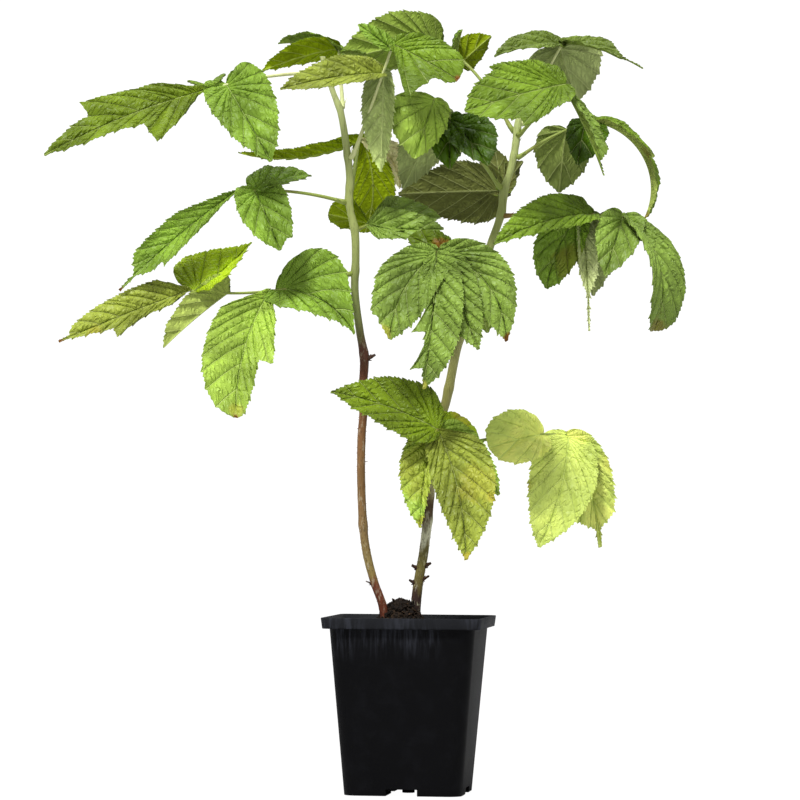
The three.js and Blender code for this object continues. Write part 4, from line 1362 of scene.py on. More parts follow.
@dataclass
class NurseryPot:
    """The square two-litre nursery pot: tapered body, standing lip, four feet and a centre stud."""

    turn: float = -7
    height: float = 154
    rim_width: float = 140
    rim_height: float = 9.5
    rim_lean: float = 2.4
    body_top: float = 127
    body_foot: float = 103
    corner: float = 13
    rim_corner: float = 9
    wall: float = 1.8
    floor_top: float = 9.6
    channel_width: float = 27
    channel_height: float = 7
    channel_round: float = 3
    stud_diameter: float = 11
    stud_height: float = 7.2
    middle: float = 75
    edge: float = 0.5

    LIP_INSIDE = 7
    LIP_STEP = 3
    SLACK = 0.5
    TOUCH = 1e-6

    def body_width(self, height: float) -> float:
        """Gives the width of the tapered body at a height."""
        share = height / (self.height - self.rim_height)
        return self.body_foot + (self.body_top - self.body_foot) * share

    def shell(self, bm: bmesh.types.BMesh) -> list[bmesh.types.BMEdge]:
        """Models body, lip and inside as rings bridged from the foot over the lip to the floor.

        Returns:
            The edges of the outer foot ring, which is left open.
        """
        lip_foot = self.height - self.rim_height
        lip_low = self.rim_width - self.rim_lean
        inner_top = self.rim_width - 2 * self.wall - 2
        inside = self.body_width(lip_foot) - 2 * self.wall
        rings = [
            (self.body_width(0), self.corner, 0.0),
            (self.body_width(self.channel_height), self.corner, self.channel_height),
            (self.body_width(self.middle), self.corner, self.middle),
            (self.body_width(lip_foot - self.LIP_STEP), self.corner, lip_foot - self.LIP_STEP),
            (self.body_width(lip_foot), self.corner, lip_foot),
            (lip_low, self.rim_corner, lip_foot),
            (self.rim_width, self.rim_corner, self.height),
            (inner_top, self.rim_corner - 1, self.height - self.LIP_STEP),
            (inside, self.corner - self.wall, lip_foot),
            (self.body_width(self.middle) - 2 * self.wall, self.corner - self.wall, self.middle),
            (self.body_width(self.floor_top) - 2 * self.wall, self.corner - self.wall, self.floor_top),
        ]
        loops = [rounded_square(bm, *ring) for ring in rings]
        for low, high in zip(loops, loops[1:]):
            bmesh.ops.bridge_loops(bm, edges=low + high)
        for vert in {v for edge in loops[self.LIP_INSIDE] for v in edge.verts}:
            vert.co.z = self.height * MM
        bmesh.ops.holes_fill(bm, edges=loops[-1], sides=0)
        return loops[0]

    def split(self, bm: bmesh.types.BMesh, at: Vector, way: Vector, below: float) -> None:
        """Cuts the faces under a height along a plane, all in millimetres."""
        faces = [f for f in bm.faces if max(v.co.z for v in f.verts) < below * MM]
        edges = unique(e for f in faces for e in f.edges)
        verts = unique(v for f in faces for v in f.verts)
        bmesh.ops.bisect_plane(bm, geom=[*verts, *edges, *faces], plane_co=at * MM, plane_no=way,
                               dist=1e-7)

    def feet(self, bm: bmesh.types.BMesh, foot_ring: list[bmesh.types.BMEdge]) -> None:
        """Closes the underside with four feet and two channels that cross between them."""
        w, h = self.channel_width / 2, self.channel_height
        bmesh.ops.holes_fill(bm, edges=foot_ring, sides=0)
        for axis in (Vector((1, 0, 0)), Vector((0, 1, 0))):
            for side in (-1, 1):
                self.split(bm, axis * w * side, axis, h + self.SLACK)
        doomed = []
        for face in bm.faces:
            middle = face.calc_center_median() / MM
            if middle.z < h - self.SLACK and min(abs(middle.x), abs(middle.y)) < w - self.SLACK:
                doomed.append(face)
        bmesh.ops.delete(bm, geom=doomed, context="FACES")
        inner = [e for e in bm.edges
                 if e.is_boundary and max(v.co.z for v in e.verts) < self.SLACK * MM]
        raised = bmesh.ops.extrude_edge_only(bm, edges=inner)["geom"]
        for vert in (g for g in raised if isinstance(g, bmesh.types.BMVert)):
            vert.co.z = h * MM
            far = max(abs(vert.co.x), abs(vert.co.y))
            if far > (self.body_foot / 2 - 2) * MM:
                out = self.body_width(h) / 2 * MM
                if abs(vert.co.x) > abs(vert.co.y):
                    vert.co.x = math.copysign(out, vert.co.x)
                else:
                    vert.co.y = math.copysign(out, vert.co.y)
        bmesh.ops.remove_doubles(bm, verts=bm.verts, dist=1e-5)
        ceiling = [e for e in bm.edges if e.is_boundary]
        bmesh.ops.holes_fill(bm, edges=ceiling, sides=0)
        bmesh.ops.recalc_face_normals(bm, faces=bm.faces)

    def build(self) -> bpy.types.Object:
        """Builds the pot and returns its piece."""
        bm = bmesh.new()
        foot_ring = self.shell(bm)
        self.feet(bm, foot_ring)
        w, h = self.channel_width / 2 * MM, self.channel_height * MM
        corners = [e for e in bm.edges if all(abs(v.co.z - h) < self.TOUCH for v in e.verts)
                   and all(abs(min(abs(v.co.x), abs(v.co.y)) - w) < self.TOUCH for v in e.verts)
                   and e.is_manifold and e.calc_face_angle(0) > 1.2]
        bmesh.ops.bevel(bm, geom=corners, offset=self.channel_round * MM, offset_type="OFFSET",
                        affect="EDGES", segments=4, profile=0.5, material=-1)
        radius = self.stud_diameter / 2 * MM
        stud = bmesh.ops.create_cone(bm, cap_ends=True, cap_tris=False, segments=32, radius1=radius,
                                     radius2=radius, depth=self.stud_height * MM)
        bmesh.ops.translate(bm, verts=stud["verts"], vec=(0, 0, self.stud_height / 2 * MM))
        sharp = [e for e in bm.edges if e.is_manifold and e.calc_face_angle(0) > math.radians(38)]
        bmesh.ops.bevel(bm, geom=sharp, offset=self.edge * MM, offset_type="OFFSET", affect="EDGES",
                        segments=2, profile=0.5, material=-1, clamp_overlap=True)
        bmesh.ops.rotate(bm, verts=bm.verts, cent=(0, 0, 0),
                         matrix=Matrix.Rotation(math.radians(self.turn), 3, "Z"))
        smoothed(bm)
        for edge in bm.edges:
            edge.smooth = not edge.is_manifold or edge.calc_face_angle(0) < math.radians(32)
        return make_piece("pot_shell", bm, [PotFinish().material()], ["pot"])


@dataclass
class Compost:
    """The fill of the pot, with the crumbly heap between the canes."""

    pot: NurseryPot
    level: float = 146.5
    heap: tuple[float, float] = (-8, 2)
    heap_width: float = 46
    heap_depth: float = 40
    heap_rise: float = 23
    fill_cells: int = 84
    fill_gap: float = 0.35
    lumps: int = 1100
    heap_share: float = 0.55
    scatter: float = 62
    long_bits: float = 0.86
    bark_bits: float = 0.9
    seed: int = 11

    def surface(self, x: float, y: float) -> float:
        """Gives the height of the compost at a place, all in millimetres."""
        hx = (x - self.heap[0]) / (self.heap_width / 2)
        hy = (y - self.heap[1]) / (self.heap_depth / 2)
        rise = self.heap_rise * max(1 - (hx * hx + hy * hy) ** 0.8, 0.0) ** 0.8
        rough = 2.0 * noise.noise(Vector((x * 0.09, y * 0.09, 1.0)))
        rough += 1.5 * noise.noise(Vector((x * 0.3, y * 0.3, 5.0)))
        rough += 0.9 * noise.noise(Vector((x * 0.8, y * 0.8, 9.0)))
        return self.level - 2.5 + rise + rough

    def inside(self, x: float, y: float, margin: float) -> bool:
        """Says whether a place is inside the pot by a margin."""
        spot = Matrix.Rotation(math.radians(-self.pot.turn), 2) @ Vector((x, y))
        half = self.pot.body_width(self.level) / 2 - self.pot.wall - margin
        return max(abs(spot.x), abs(spot.y)) < half and abs(spot.x) + abs(spot.y) < half * 1.86

    def build_fill(self) -> bpy.types.Object:
        """Builds the fill: a fine grid, laid to the pot's inside and drawn down to its floor."""
        bm = bmesh.new()
        bmesh.ops.create_grid(bm, x_segments=self.fill_cells, y_segments=self.fill_cells, size=1.0)
        top, bottom = (self.pot.body_width(z) / 2 - self.pot.wall - self.fill_gap
                       for z in (self.level, self.pot.floor_top))
        corner = self.pot.corner - self.pot.wall
        turn = Matrix.Rotation(math.radians(self.pot.turn), 3, "Z")
        for vert in bm.verts:
            vert.co = self.rounded(vert.co.x, vert.co.y, top, corner)
        faces = bm.faces[:]
        lowered = bmesh.ops.extrude_face_region(bm, geom=faces)["geom"]
        low = [g for g in lowered if isinstance(g, bmesh.types.BMVert)]
        for vert in low:
            share = bottom / top
            vert.co = Vector((vert.co.x * share, vert.co.y * share, self.pot.floor_top + 0.3))
        lowest = set(low)
        for vert in bm.verts:
            vert.co = turn @ vert.co
            if vert not in lowest:
                vert.co.z = self.surface(vert.co.x, vert.co.y)
            vert.co *= MM
        bmesh.ops.recalc_face_normals(bm, faces=bm.faces)
        smoothed(bm)
        finish = CompostFinish("compost_fill", (26, 19, 13), (62, 46, 32))
        return make_piece("compost_fill", bm, [finish.material()], ["soil"])

    @staticmethod
    def rounded(x: float, y: float, half: float, corner: float) -> Vector:
        """Carries a place of the square from -1 to 1 into the round-cornered inside of the pot."""
        px, py = x * half, y * half
        over_x, over_y = abs(px) - (half - corner), abs(py) - (half - corner)
        if over_x > 0 and over_y > 0:
            reach = math.hypot(over_x, over_y)
            limit = max(over_x, over_y)
            px = math.copysign(half - corner + over_x * limit / reach, px)
            py = math.copysign(half - corner + over_y * limit / reach, py)
        return Vector((px, py, 0.0))

    def build_crumbs(self) -> bpy.types.Object:
        """Scatters lumps of compost and bits of bark over the fill, thickest on the heap."""
        dice = random.Random(self.seed)
        bm = bmesh.new()
        made_lumps = 0
        while made_lumps < self.lumps:
            on_heap = made_lumps < self.lumps * self.heap_share
            if on_heap:
                x = self.heap[0] + dice.gauss(0, self.heap_width * 0.25)
                y = self.heap[1] + dice.gauss(0, self.heap_depth * 0.25)
            else:
                x, y = (dice.uniform(-self.scatter, self.scatter) for _ in range(2))
            if not self.inside(x, y, 3.5):
                continue
            made_lumps += 1
            size = dice.uniform(0.8, 2.9) if on_heap else dice.uniform(0.5, 1.9)
            made = bmesh.ops.create_icosphere(bm, subdivisions=1, radius=1.0)
            kind = dice.random()
            long_bit = kind > self.long_bits
            stretch = Vector((size * (2.6 if long_bit else dice.uniform(0.8, 1.5)), size * 0.75,
                              size * (0.4 if long_bit else dice.uniform(0.6, 1.0))))
            turn = Matrix.Rotation(dice.uniform(0, 6.3), 4, "Z") @ Matrix.Rotation(
                dice.uniform(-0.7, 0.7), 4, "Y")
            for vert in made["verts"]:
                vert.co *= 1 + 0.35 * noise.noise(vert.co * 1.7 + Vector((made_lumps, 0, 0)))
            spot = Vector((x, y, self.surface(x, y) + size * dice.uniform(0.05, 0.6)))
            matrix = Matrix.Scale(MM, 4) @ Matrix.Translation(spot) @ turn @ Matrix.Diagonal(
                (*stretch, 1.0))
            bmesh.ops.transform(bm, matrix=matrix, verts=made["verts"])
            for face in {f for v in made["verts"] for f in v.link_faces}:
                face.material_index = 1 if kind > self.bark_bits else 0
        materials = [CompostFinish("compost_crumb", (16, 12, 9), (42, 31, 22)).material(),
                     CompostFinish("compost_bark", (34, 24, 16), (78, 58, 40)).material()]
        return make_piece("compost_crumbs", bm, materials, ["soil"])


@dataclass
class Studio:
    """A plain pale floor, soft lights and the camera."""

    camera_place: Vector = field(default_factory=lambda: Vector((-9.5, -4000.0, 266.0)))
    lens: float = 205.4
    sensor: float = 36.0
    pitch: float = 1.11
    roll: float = 0.35
    white: float = 1.1
    floor_radius: float = 14.0
    floor_drop: float = 0.0003

    def camera(self) -> None:
        """Sets the camera level with the leaves, in front of the plant."""
        data = bpy.data.cameras.new("camera")
        data.lens, data.sensor_width = self.lens, self.sensor
        data.clip_end = 60.0
        eye = place_object("camera", data)
        p, q = math.radians(self.pitch), math.radians(self.roll)
        ahead = Vector((0, math.cos(p), math.sin(p)))
        right = Vector((1, 0, 0))
        over = right.cross(ahead)
        across = right * math.cos(q) + over * math.sin(q)
        upward = over * math.cos(q) - right * math.sin(q)
        turn = Matrix((across, upward, -ahead)).transposed().to_4x4()
        eye.matrix_world = Matrix.Translation(self.camera_place * MM) @ turn
        bpy.context.scene.camera = eye

    def lamp(self, name: str, place: tuple[float, float, float], size: float, power: float) -> None:
        """Adds a soft square light that looks at the plant, in metres and watts."""
        data = bpy.data.lights.new(name, "AREA")
        data.size, data.energy = size, power
        lamp = place_object(name, data)
        away = Vector(place) - Vector((0, 0, 0.4))
        turn = away.to_track_quat("Z", "Y").to_matrix().to_4x4()
        lamp.matrix_world = Matrix.Translation(place) @ turn

    def sun(self, heading: float, rise: float, strength: float, spread: float) -> None:
        """Adds the main light, far off and soft-edged, from a heading and a rise in degrees."""
        data = bpy.data.lights.new("sun", "SUN")
        data.energy, data.angle = strength, math.radians(spread)
        lamp = place_object("sun", data)
        lamp.matrix_world = direction(heading, rise).to_track_quat("Z", "Y").to_matrix().to_4x4()

    def world(self) -> None:
        """Surrounds the plant with even white, a little darker in front of it and below."""
        world = bpy.data.worlds.new("studio")
        world.use_nodes = True
        bpy.context.scene.world = world
        tree = world.node_tree
        w = Wiring(tree)
        seen = w.node("Background")
        seen.inputs["Color"].default_value = (1.0, 1.0, 1.0, 1.0)
        seen.inputs["Strength"].default_value = self.white
        up = w.node("SeparateXYZ")
        w.feed(up.inputs[0], w.node("TexCoord").outputs["Generated"])
        lit = w.node("Background")
        lit.inputs["Color"].default_value = (1.0, 1.0, 1.0, 1.0)
        w.feed(lit.inputs["Strength"], w.span(up.outputs[2], -0.3, 0.9, 0.3, 0.55))
        mix = w.node("MixShader")
        w.feed(mix.inputs[0], w.node("LightPath").outputs["Is Camera Ray"])
        w.feed(mix.inputs[1], lit.outputs[0])
        w.feed(mix.inputs[2], seen.outputs[0])
        w.feed(tree.nodes.new("ShaderNodeOutputWorld").inputs["Surface"], mix.outputs[0])

    def floor(self) -> None:
        """Lays the floor under the pot."""
        bm = bmesh.new()
        bmesh.ops.create_circle(bm, cap_ends=True, segments=96, radius=self.floor_radius)
        bmesh.ops.translate(bm, verts=bm.verts, vec=(0, 0, -self.floor_drop))
        mesh = bpy.data.meshes.new("floor")
        bm.to_mesh(mesh)
        bm.free()
        material, w = new_material("floor_paint")
        matt = w.node("BsdfDiffuse")
        matt.inputs["Color"].default_value = (0.5, 0.5, 0.5, 1.0)
        glow = w.node("Emission")
        glow.inputs["Strength"].default_value = self.white
        mix = w.node("MixShader")
        w.feed(mix.inputs[0], w.math("MULTIPLY", w.node("LightPath").outputs["Is Camera Ray"], 0.9))
        w.feed(mix.inputs[1], matt.outputs[0])
        w.feed(mix.inputs[2], glow.outputs[0])
        w.feed(w.node("OutputMaterial").inputs["Surface"], mix.outputs[0])
        mesh.materials.append(material)
        place_object("floor", mesh)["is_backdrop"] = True

    def build(self) -> None:
        """Sets up the whole studio."""
        self.camera()
        self.world()
        self.floor()
        self.sun(244, 54, 3.3, 12)
        self.lamp("fill", (1.9, -1.4, 1.1), 1.4, 5.0)
        self.lamp("top", (0.1, 0.7, 2.6), 1.4, 12.0)
        scene = bpy.context.scene
        scene.view_settings.view_transform = "Standard"
        scene.view_settings.look = "None"


# ---------------------------------------------------------------------------------- leaves
LEAVES = (
    CompoundLeaf("leaf_left_top", LEFT, 629, 193, 193, -10, 107, 4, Stem.PALE, (
        Leaflet(1, 156, 44, 197, -23, (285, 45), 4, 10, Upper.OLIVE_BACKLIT, Under.SAGE, neck=0.25, skew=0.08,
                belly=0.3, veer=5, lobes=((1, 0.64, 0.7, 0.3, 0.02), (-1, 0.42, 1.35, 0.32, 0.02))),
        Leaflet(0.82, 87, 62, 323, -54, (268, 18), 14, 14, Upper.FRESH, Under.SILVER, cordate=0.5,
                skew=-0.14, belly=0.4),
        Leaflet(0.94, 71, 38, 98, 4, (200, 75), 6, 25, Upper.MEADOW, Under.FERN),
    )),
    CompoundLeaf("leaf_left_crown", LEFT, 598, 50, 106, 74, 56, -2, Stem.PALE, (
        Leaflet(1, 73, 34, 167, -15, (100, 50), 18, 15, Upper.MEADOW, Under.GILT),
        Leaflet(0.97, 67, 28, 147, 8, (80, 75), 25, 20, Upper.MEADOW, Under.FERN),
        Leaflet(0.94, 44, 36, 70, -8, (30, 60), 25, 20, Upper.MEADOW, Under.FERN),
    )),
    CompoundLeaf("leaf_fork", LEFT, 554, 318, 318, 64, 108, -2, Stem.PALE, (
        Leaflet(1, 68, 42, 346, -29, (275, 32), 8, 10, Upper.MEADOW, Under.FERN, skew=-0.3, belly=-0.2,
                lobes=((1, 0.62, 1.75, 0.46, 0.12),), blemishes=(brown(1, 0, 3),)),
        Leaflet(0.76, 93, 38, 190, -10, (275, 38), 22, 25, Upper.SUNNY, Under.FERN, pleat=0.5),
        Leaflet(0.78, 89, 31, 102, -84, (92, 4), 10, 15, Upper.LEAF, Under.SILVER, skew=-0.3),
        Leaflet(0.96, 41, 18, 154, 35, (250, 30), 10, 25, Upper.FRESH, Under.FERN),
    )),
    CompoundLeaf("leaf_left_mid", LEFT, 516, 191, 191, 4, 97, 5, Stem.GREEN, (
        Leaflet(1, 134, 35, 188, -41, (282, 38), 10, 30, Upper.FRESH, Under.FERN, neck=0.4, belly=-0.1,
                tail=0.24, veer=2, pleat=0.5, lobes=((-1, 0.66, 0.35, 0.3, 0.02),),
                blemishes=(brown(1, 0, 3),)),
        Leaflet(0.82, 68, 54, 306, -54, (270, 25), 14, 20, Upper.FRESH, Under.FERN, cordate=0.34,
                belly=0.2, lobes=((-1, 0.88, 0.15, 0.2, 0.02),)),
        Leaflet(0.8, 66, 40, 43, 14, (280, 62), 25, 18, Upper.FRESH, Under.FERN, cordate=0.3),
    )),
    CompoundLeaf("leaf_left_rear", LEFT, 527, 70, 83, 43, 75, 0, Stem.GREEN, (
        Leaflet(1, 87, 42, 53, -84, (80, 12), 8, 8, Upper.OLIVE_BACKLIT, Under.MUSTARD, veer=9, belly=-0.3,
                pleat=0.3),
        Leaflet(0.9, 119, 25, 158, -4, (90, 62), -44, 20, Upper.MOSS, Under.GILT),
        Leaflet(0.94, 70, 34, 49, -36, (270, 10), 14, 18, Upper.WITHERED_LIT, Under.SILVER, veer=-10,
                neck=0.5, pleat=0.4),
    )),
    CompoundLeaf("leaf_left_node", LEFT, 492, 75, 50, 17, 21, 0, Stem.GREEN, (
        Leaflet(1, 65, 50, 13, 6, (270, 40), 6, 20, Upper.LEAF, Under.FERN, neck=0.3),
        Leaflet(0.9, 39, 40, 174, 14, (90, 45), 8, 12, Upper.OLIVE_BACKLIT, Under.GILT, belly=-0.1, neck=0.5),
        Leaflet(0.8, 69, 40, 353, -3, (268, 35), 6, 20, Upper.LEAF, Under.SAGE, veer=4, neck=0.15),
    )),
    CompoundLeaf("leaf_left_low", LEFT, 454, 191, 191, -7, 143, -8, Stem.GREEN, (
        Leaflet(1, 124, 36, 189, -22, (285, 42), 5, 14, Upper.SUNNY, Under.FERN, neck=0.2, skew=0.25,
                belly=0.3, tail=0.14, lobes=((-1, 0.6, 0.8, 0.2, 0.02),),
                blemishes=(brown(1, 0, 3), yellow(0.75, -0.5, 7, 0.3))),
        Leaflet(0.97, 75, 52, 34, 37, (250, 52), -22, 20, Upper.ACID, Under.GILT, skew=-0.2, belly=0.85,
                cordate=0.25),
        Leaflet(0.76, 81, 44, 210, -38, (165, 15), 10, 45, Upper.MEADOW, Under.MILKY, cordate=0.5),
        Leaflet(0.5, 133, 57, 247, -58, (268, 14), 12, 14, Upper.SPRING, Under.SILVER, veer=8,
                skew=0.38, belly=-0.1, neck=0.25, lobes=((-1, 0.575, 0.45, 0.5, 0.02),),
                blemishes=(brown(1, 0, 2), yellow(0.95, 0, 5, 0.3))),
        Leaflet(0.46, 81, 66, 348, -29, (280, 26), 10, 14, Upper.FRESH, Under.FERN, veer=-12, skew=-0.3,
                cordate=0.28, belly=0.75),
    )),
    CompoundLeaf("leaf_top", RIGHT, 581, 150, 150, 46, 110, 14, Stem.GREEN, (
        Leaflet(1, 97, 62, 167, -9, (95, 22), 12, 14, Upper.LEAF, Under.FERN, veer=-5, skew=-0.12,
                cordate=0.36),
        Leaflet(0.66, 40, 34, 33, 39, (80, 35), 10, 15, Upper.OLIVE_BACKLIT, Under.MUSTARD),
        Leaflet(0.74, 30, 18, 284, 52, (190, 20), 12, 30, Upper.FRESH, Under.FERN),
    )),
    CompoundLeaf("leaf_mid", RIGHT, 531, 210, 210, 48, 101, 3, Stem.GREEN, (
        Leaflet(1, 57, 60, 199, -71, (272, 28), 14, 16, Upper.SPRING, Under.FERN, skew=0.28, belly=0.35,
                cordate=0.08, blemishes=(brown(0.9, -1, 3, 0.6),)),
        Leaflet(0.76, 52, 38, 270, -65, (255, 15), 14, 22, Upper.BOTTLE_SHADED, Under.SAGE, cordate=0.3,
                belly=0.1),
        Leaflet(0.68, 56, 52, 315, -43, (285, 18), 14, 18, Upper.BOTTLE_SHADED, Under.SAGE, cordate=0.35,
                belly=0.2, skew=-0.1),
        Leaflet(0.88, 82, 50, 145, -59, (95, 16), 10, 18, Upper.MEADOW, Under.PEWTER),
    )),
    CompoundLeaf("leaf_rear", RIGHT, 523, 100, 89, 16, 29, 2, Stem.GREEN, (
        Leaflet(1, 98, 64, 163, -1, (92, 22), 6, 8, Upper.MOSS, Under.SLATE, skew=0.08, pleat=0.4),
        Leaflet(0.9, 51, 30, 103, 55, (90, 30), 10, 15, Upper.MEADOW, Under.SLATE,
                blemishes=(brown(0.3, 0, 8, 0.4),)),
        Leaflet(0.95, 49, 30, 59, 37, (90, 30), 10, 15, Upper.MEADOW, Under.SLATE),
    )),
    CompoundLeaf("leaf_right_top", RIGHT, 587, 30, 3, 64, 81, 3, Stem.PALE, (
        Leaflet(1, 78, 34, 345, -18, (282, 66), 30, 22, Upper.GREYED, Under.FERN, tail=0.5, belly=0.2),
        Leaflet(0.97, 65, 36, 198, -11, (262, 55), 34, 20, Upper.GREYED, Under.FERN),
        Leaflet(0.95, 55, 78, 49, -64, (92, 12), 12, 18, Upper.MEADOW, Under.PEWTER, cordate=0.14),
    )),
    CompoundLeaf("leaf_right_front", RIGHT, 578, 303, 303, 30, 80, 0, Stem.GREEN, (
        Leaflet(1, 100, 68, 203, -16, (272, 30), 12, 12, Upper.MEADOW, Under.FERN, cordate=0.2,
                belly=0.1, pleat=0.75, lobes=((1, 0.6, 0.12, 0.2, 0.02), (-1, 0.6, 0.3, 0.3, 0.02))),
        Leaflet(0.96, 90, 28, 330, -63, (330, 25), 12, 45, Upper.LEAF, Under.FERN, neck=0.4, belly=-0.1,
                tail=0.25),
    )),
    CompoundLeaf("leaf_right_mid", RIGHT, 558, 349, 349, 26, 71, 4, Stem.GREEN, (
        Leaflet(1, 99, 26, 10, -60, (335, 44), 116, 30, Upper.MEADOW, Under.MILKY, belly=0.1,
                lobes=((1, 0.5, 1.3, 0.2, 0.02),),
                blemishes=(brown(0.5, 1, 5, 0.4), brown(1, 0, 5, 0.6))),
        Leaflet(0.66, 57, 56, 118, -78, (92, 8), 10, 14, Upper.MEADOW, Under.SAGE, cordate=0.2),
        Leaflet(0.92, 46, 42, 252, -59, (275, 22), 16, 20, Upper.BOTTLE_SHADED, Under.FERN, skew=-0.2),
    )),
    CompoundLeaf("leaf_right_low", RIGHT, 507, 349, 349, -1, 108, 2, Stem.RUSSET, (
        Leaflet(1, 104, 54, 334, -75, (318, 24), 92, 14, Upper.LEAF, Under.SAGE, belly=-0.2,
                blemishes=(brown(1, 0, 9, 0.5),)),
        Leaflet(0.72, 109, 48, 212, -16, (275, 48), 34, 20, Upper.MEADOW, Under.FERN),
        Leaflet(0.6, 73, 50, 188, -67, (268, 12), 14, 18, Upper.FRESH, Under.SAGE, veer=4, belly=0.1,
                blemishes=(brown(0.6, -0.6, 12, 0.35),)),
        Leaflet(0.64, 106, 22, 289, -81, (285, 15), 8, 30, Upper.FROSTED, Under.PEWTER, tail=0.5,
                belly=0.3, pleat=0.4),
        Leaflet(0.78, 79, 44, 97, -64, (92, 8), 8, 14, Upper.MEADOW, Under.PEWTER),
        Leaflet(0.97, 64, 46, 239, -59, (268, 22), 16, 18, Upper.LEAF, Under.SAGE, cordate=0.3,
                skew=-0.1),
    )),
    CompoundLeaf("leaf_low_right", RIGHT, 300, 10, 10, 7, 116, 5, Stem.GREEN, (
        Leaflet(1, 107, 67, 224, -70, (268, 14), 12, 12, Upper.LIME_LIT, Under.MILKY, veer=-6, belly=0.3,
                cordate=0.14, blemishes=(yellow(0.55, 1, 5, 0.8), brown(0.62, 1.05, 2, 0.5)),
                pleat=0.4),
        Leaflet(0.8, 56, 60, 206, -13, (275, 24), 16, 14, Upper.CREAM_LIT, Under.MILKY, cordate=0.16,
                belly=-0.1, pleat=0.6, ripple=1.8),
        Leaflet(0.98, 106, 54, 12, -72, (262, 14), 12, 14, Upper.CREAM_LIT, Under.MILKY, veer=-6,
                cordate=0.16, tail=0.26, blemishes=(yellow(0.35, -1, 7, 0.3),), pleat=0.5),
    )),
    CompoundLeaf("leaf_centre", RIGHT, 466, 255, 243, 2, 94, 2, Stem.RUSSET, (
        Leaflet(1, 124, 36, 250, -75, (268, 13), 12, 12, Upper.LEAF, Under.FERN, veer=-2, skew=-0.7,
                belly=0.05, lobes=((1, 0.59, 0.6, 0.1, 0.02), (1, 0.84, 0.55, 0.12, 0.02)),
                blemishes=(yellow(0.98, 0, 3, 0.4),)),
        Leaflet(0.95, 91, 60, 208, -58, (266, 13), 12, 12, Upper.LEAF, Under.FERN, veer=10, cordate=0.2,
                belly=0.1, lobes=((1, 0.84, 0.12, 0.2, 0.02),), blemishes=(yellow(0.97, 0.2, 5, 0.4),)),
        Leaflet(0.97, 96, 46, 325, -63, (268, 13), 12, 12, Upper.LEAF, Under.FERN),
        Leaflet(0.93, 99, 56, 344, -52, (270, 13), 12, 12, Upper.LEAF, Under.FERN, veer=-16,
                cordate=0.2, blemishes=(brown(1, 0, 4),)),
        Leaflet(0.82, 44, 34, 143, 21, (268, 40), 10, 15, Upper.MOSS, Under.FERN,
                blemishes=(brown(0.2, 0.2, 6, 0.8),)),
    )),
    CompoundLeaf("leaf_back_low", RIGHT, 432, 95, 88, 18, 63, 6, Stem.GREEN, (
        Leaflet(1, 57, 44, 66, -54, (90, 40), 18, 16, Upper.LEAF, Under.FERN),
        Leaflet(0.96, 42, 42, 141, -50, (110, 40), 16, 16, Upper.MEADOW, Under.FERN),
        Leaflet(0.94, 39, 34, 51, -9, (80, 45), 16, 16, Upper.LEAF, Under.FERN),
    )),
    CompoundLeaf("leaf_back_top", RIGHT, 569, 75, 88, 42, 79, 6, Stem.GREEN, (
        Leaflet(1, 51, 42, 80, -18, (90, 45), 18, 16, Upper.LEAF, Under.FERN),
        Leaflet(0.96, 30, 36, 141, -16, (110, 45), 16, 16, Upper.MEADOW, Under.FERN),
        Leaflet(0.94, 39, 34, 37, 0, (70, 45), 16, 16, Upper.LEAF, Under.FERN),
    )),
    CompoundLeaf("leaf_low", RIGHT, 312, 262, 271, 4, 65, 3, Stem.RUSSET, (
        Leaflet(1, 121, 60, 305, -69, (268, 12), 12, 12, Upper.SUNNY, Under.FERN, veer=-6, skew=-0.27,
                neck=0.12, cordate=0,
                blemishes=(yellow(0.5, -0.6, 14, 0.2), yellow(0.62, -0.95, 4, 0.5),
                           yellow(1, 0, 4, 0.6))),
        Leaflet(0.97, 100, 60, 185, 19, (272, 34), 10, 12, Upper.OLIVE_BACKLIT, Under.GILT, veer=4, skew=0.04,
                cordate=0.08, belly=0.6),
        Leaflet(0.9, 91, 33, 239, -72, (262, 12), 10, 12, Upper.SPRING, Under.MILKY, veer=4, skew=0.5,
                blemishes=(yellow(0.4, -0.2, 26, 0.25), yellow(0.95, -0.3, 6, 0.4))),
        Leaflet(0.87, 80, 46, 349, -46, (272, 16), 12, 12, Upper.SPRING, Under.FERN),
        Leaflet(0.75, 42, 38, 26, -8, (292, 46), 22, 16, Upper.ACID, Under.FERN,
                blemishes=(brown(0.7, -1, 4, 0.5), yellow(0.6, -0.8, 7, 0.5))),
    )),
)

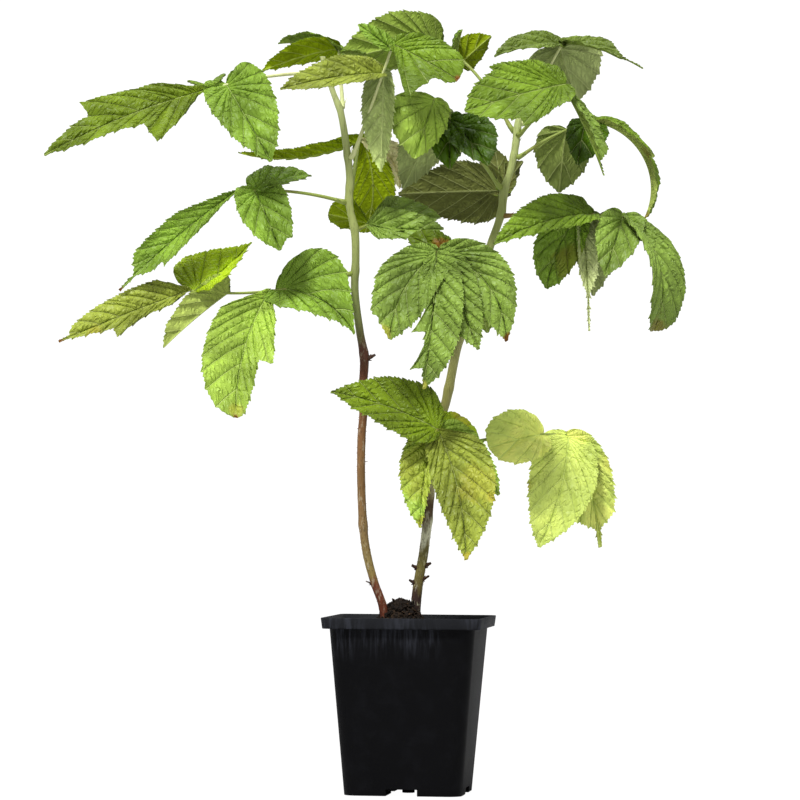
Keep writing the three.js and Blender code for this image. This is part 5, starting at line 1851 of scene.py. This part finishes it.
LEFT_BARK = BarkFinish(
    "cane_left_skin",
    ((150, (92, 40, 22)), (172, (112, 56, 30)), (186, (142, 122, 66)), (206, (142, 124, 74)),
     (232, (134, 108, 66)), (300, (138, 100, 60)), (352, (112, 68, 44)), (380, (84, 50, 36)),
     (392, (104, 98, 60)), (430, (132, 142, 82)), (490, (158, 168, 96)), (580, (176, 186, 118)),
     (643, (206, 214, 148))),
    150, 643, (206, 196, 168), 0.35, 392)
RIGHT_BARK = BarkFinish(
    "cane_right_skin",
    ((150, (36, 20, 14)), (172, (52, 30, 20)), (180, (100, 88, 42)), (194, (124, 114, 58)),
     (205, (100, 94, 44)), (211, (112, 104, 58)), (219, (214, 214, 184)), (230, (204, 204, 172)),
     (238, (92, 78, 52)), (250, (78, 60, 34)), (258, (120, 106, 70)), (268, (160, 152, 110)),
     (300, (156, 148, 106)), (347, (152, 150, 82)), (391, (158, 158, 98)), (440, (156, 164, 96)),
     (500, (162, 172, 100)), (604, (184, 196, 126))),
    150, 604, (206, 202, 170), 0.4, 300)


def leaf_heights(path: CanePath) -> tuple[float, ...]:
    """Gives the heights at which a cane bears its leaves."""
    return tuple(leaf.up for leaf in LEAVES if leaf.path is path)


CANES = (
    Cane("cane_left", LEFT, LEFT_BARK, joints=(*leaf_heights(LEFT), 232, 381),
         snags=((182, 180, 5, 1.0), (379, 350, 7, 1.9)), bristles=(162, 378, 330),
         spines=((289, 20, 3.4), (240, 330, 1.6), (318, 200, 1.8)),
         cut_colour=(196, 150, 138), seed=3),
    Cane("cane_right", RIGHT, RIGHT_BARK, joints=(*leaf_heights(RIGHT), 258, 236, 352),
         snags=((183, 200, 5, 1.7), (186, 340, 6, 1.6), (196, 190, 4.5, 2.0), (198, 350, 5, 2.0)),
         bristles=(162, 250, 60), spines=(), cut_colour=(176, 160, 130), seed=8),
)


def main() -> None:
    """Builds the plant and its studio, piece by piece."""
    logging.basicConfig(level=logging.INFO, format="%(name)s: %(message)s")
    noise.seed_set(NOISE_SEED)
    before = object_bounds()
    Studio().build()
    pot = NurseryPot()
    pot.build()
    compost = Compost(pot)
    compost.build_fill()
    compost.build_crumbs()
    for cane in CANES:
        cane.build()
    for leaf in LEAVES:
        leaf.build_blades()
        leaf.build_stalk()
    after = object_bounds()
    for name, ends in (("solids", before), ("dressed", after)):
        LOG.info("%s: %s to %s mm", name, *[[round(c / MM, 1) for c in v] for v in ends])


if __name__ == "__main__":
    main()
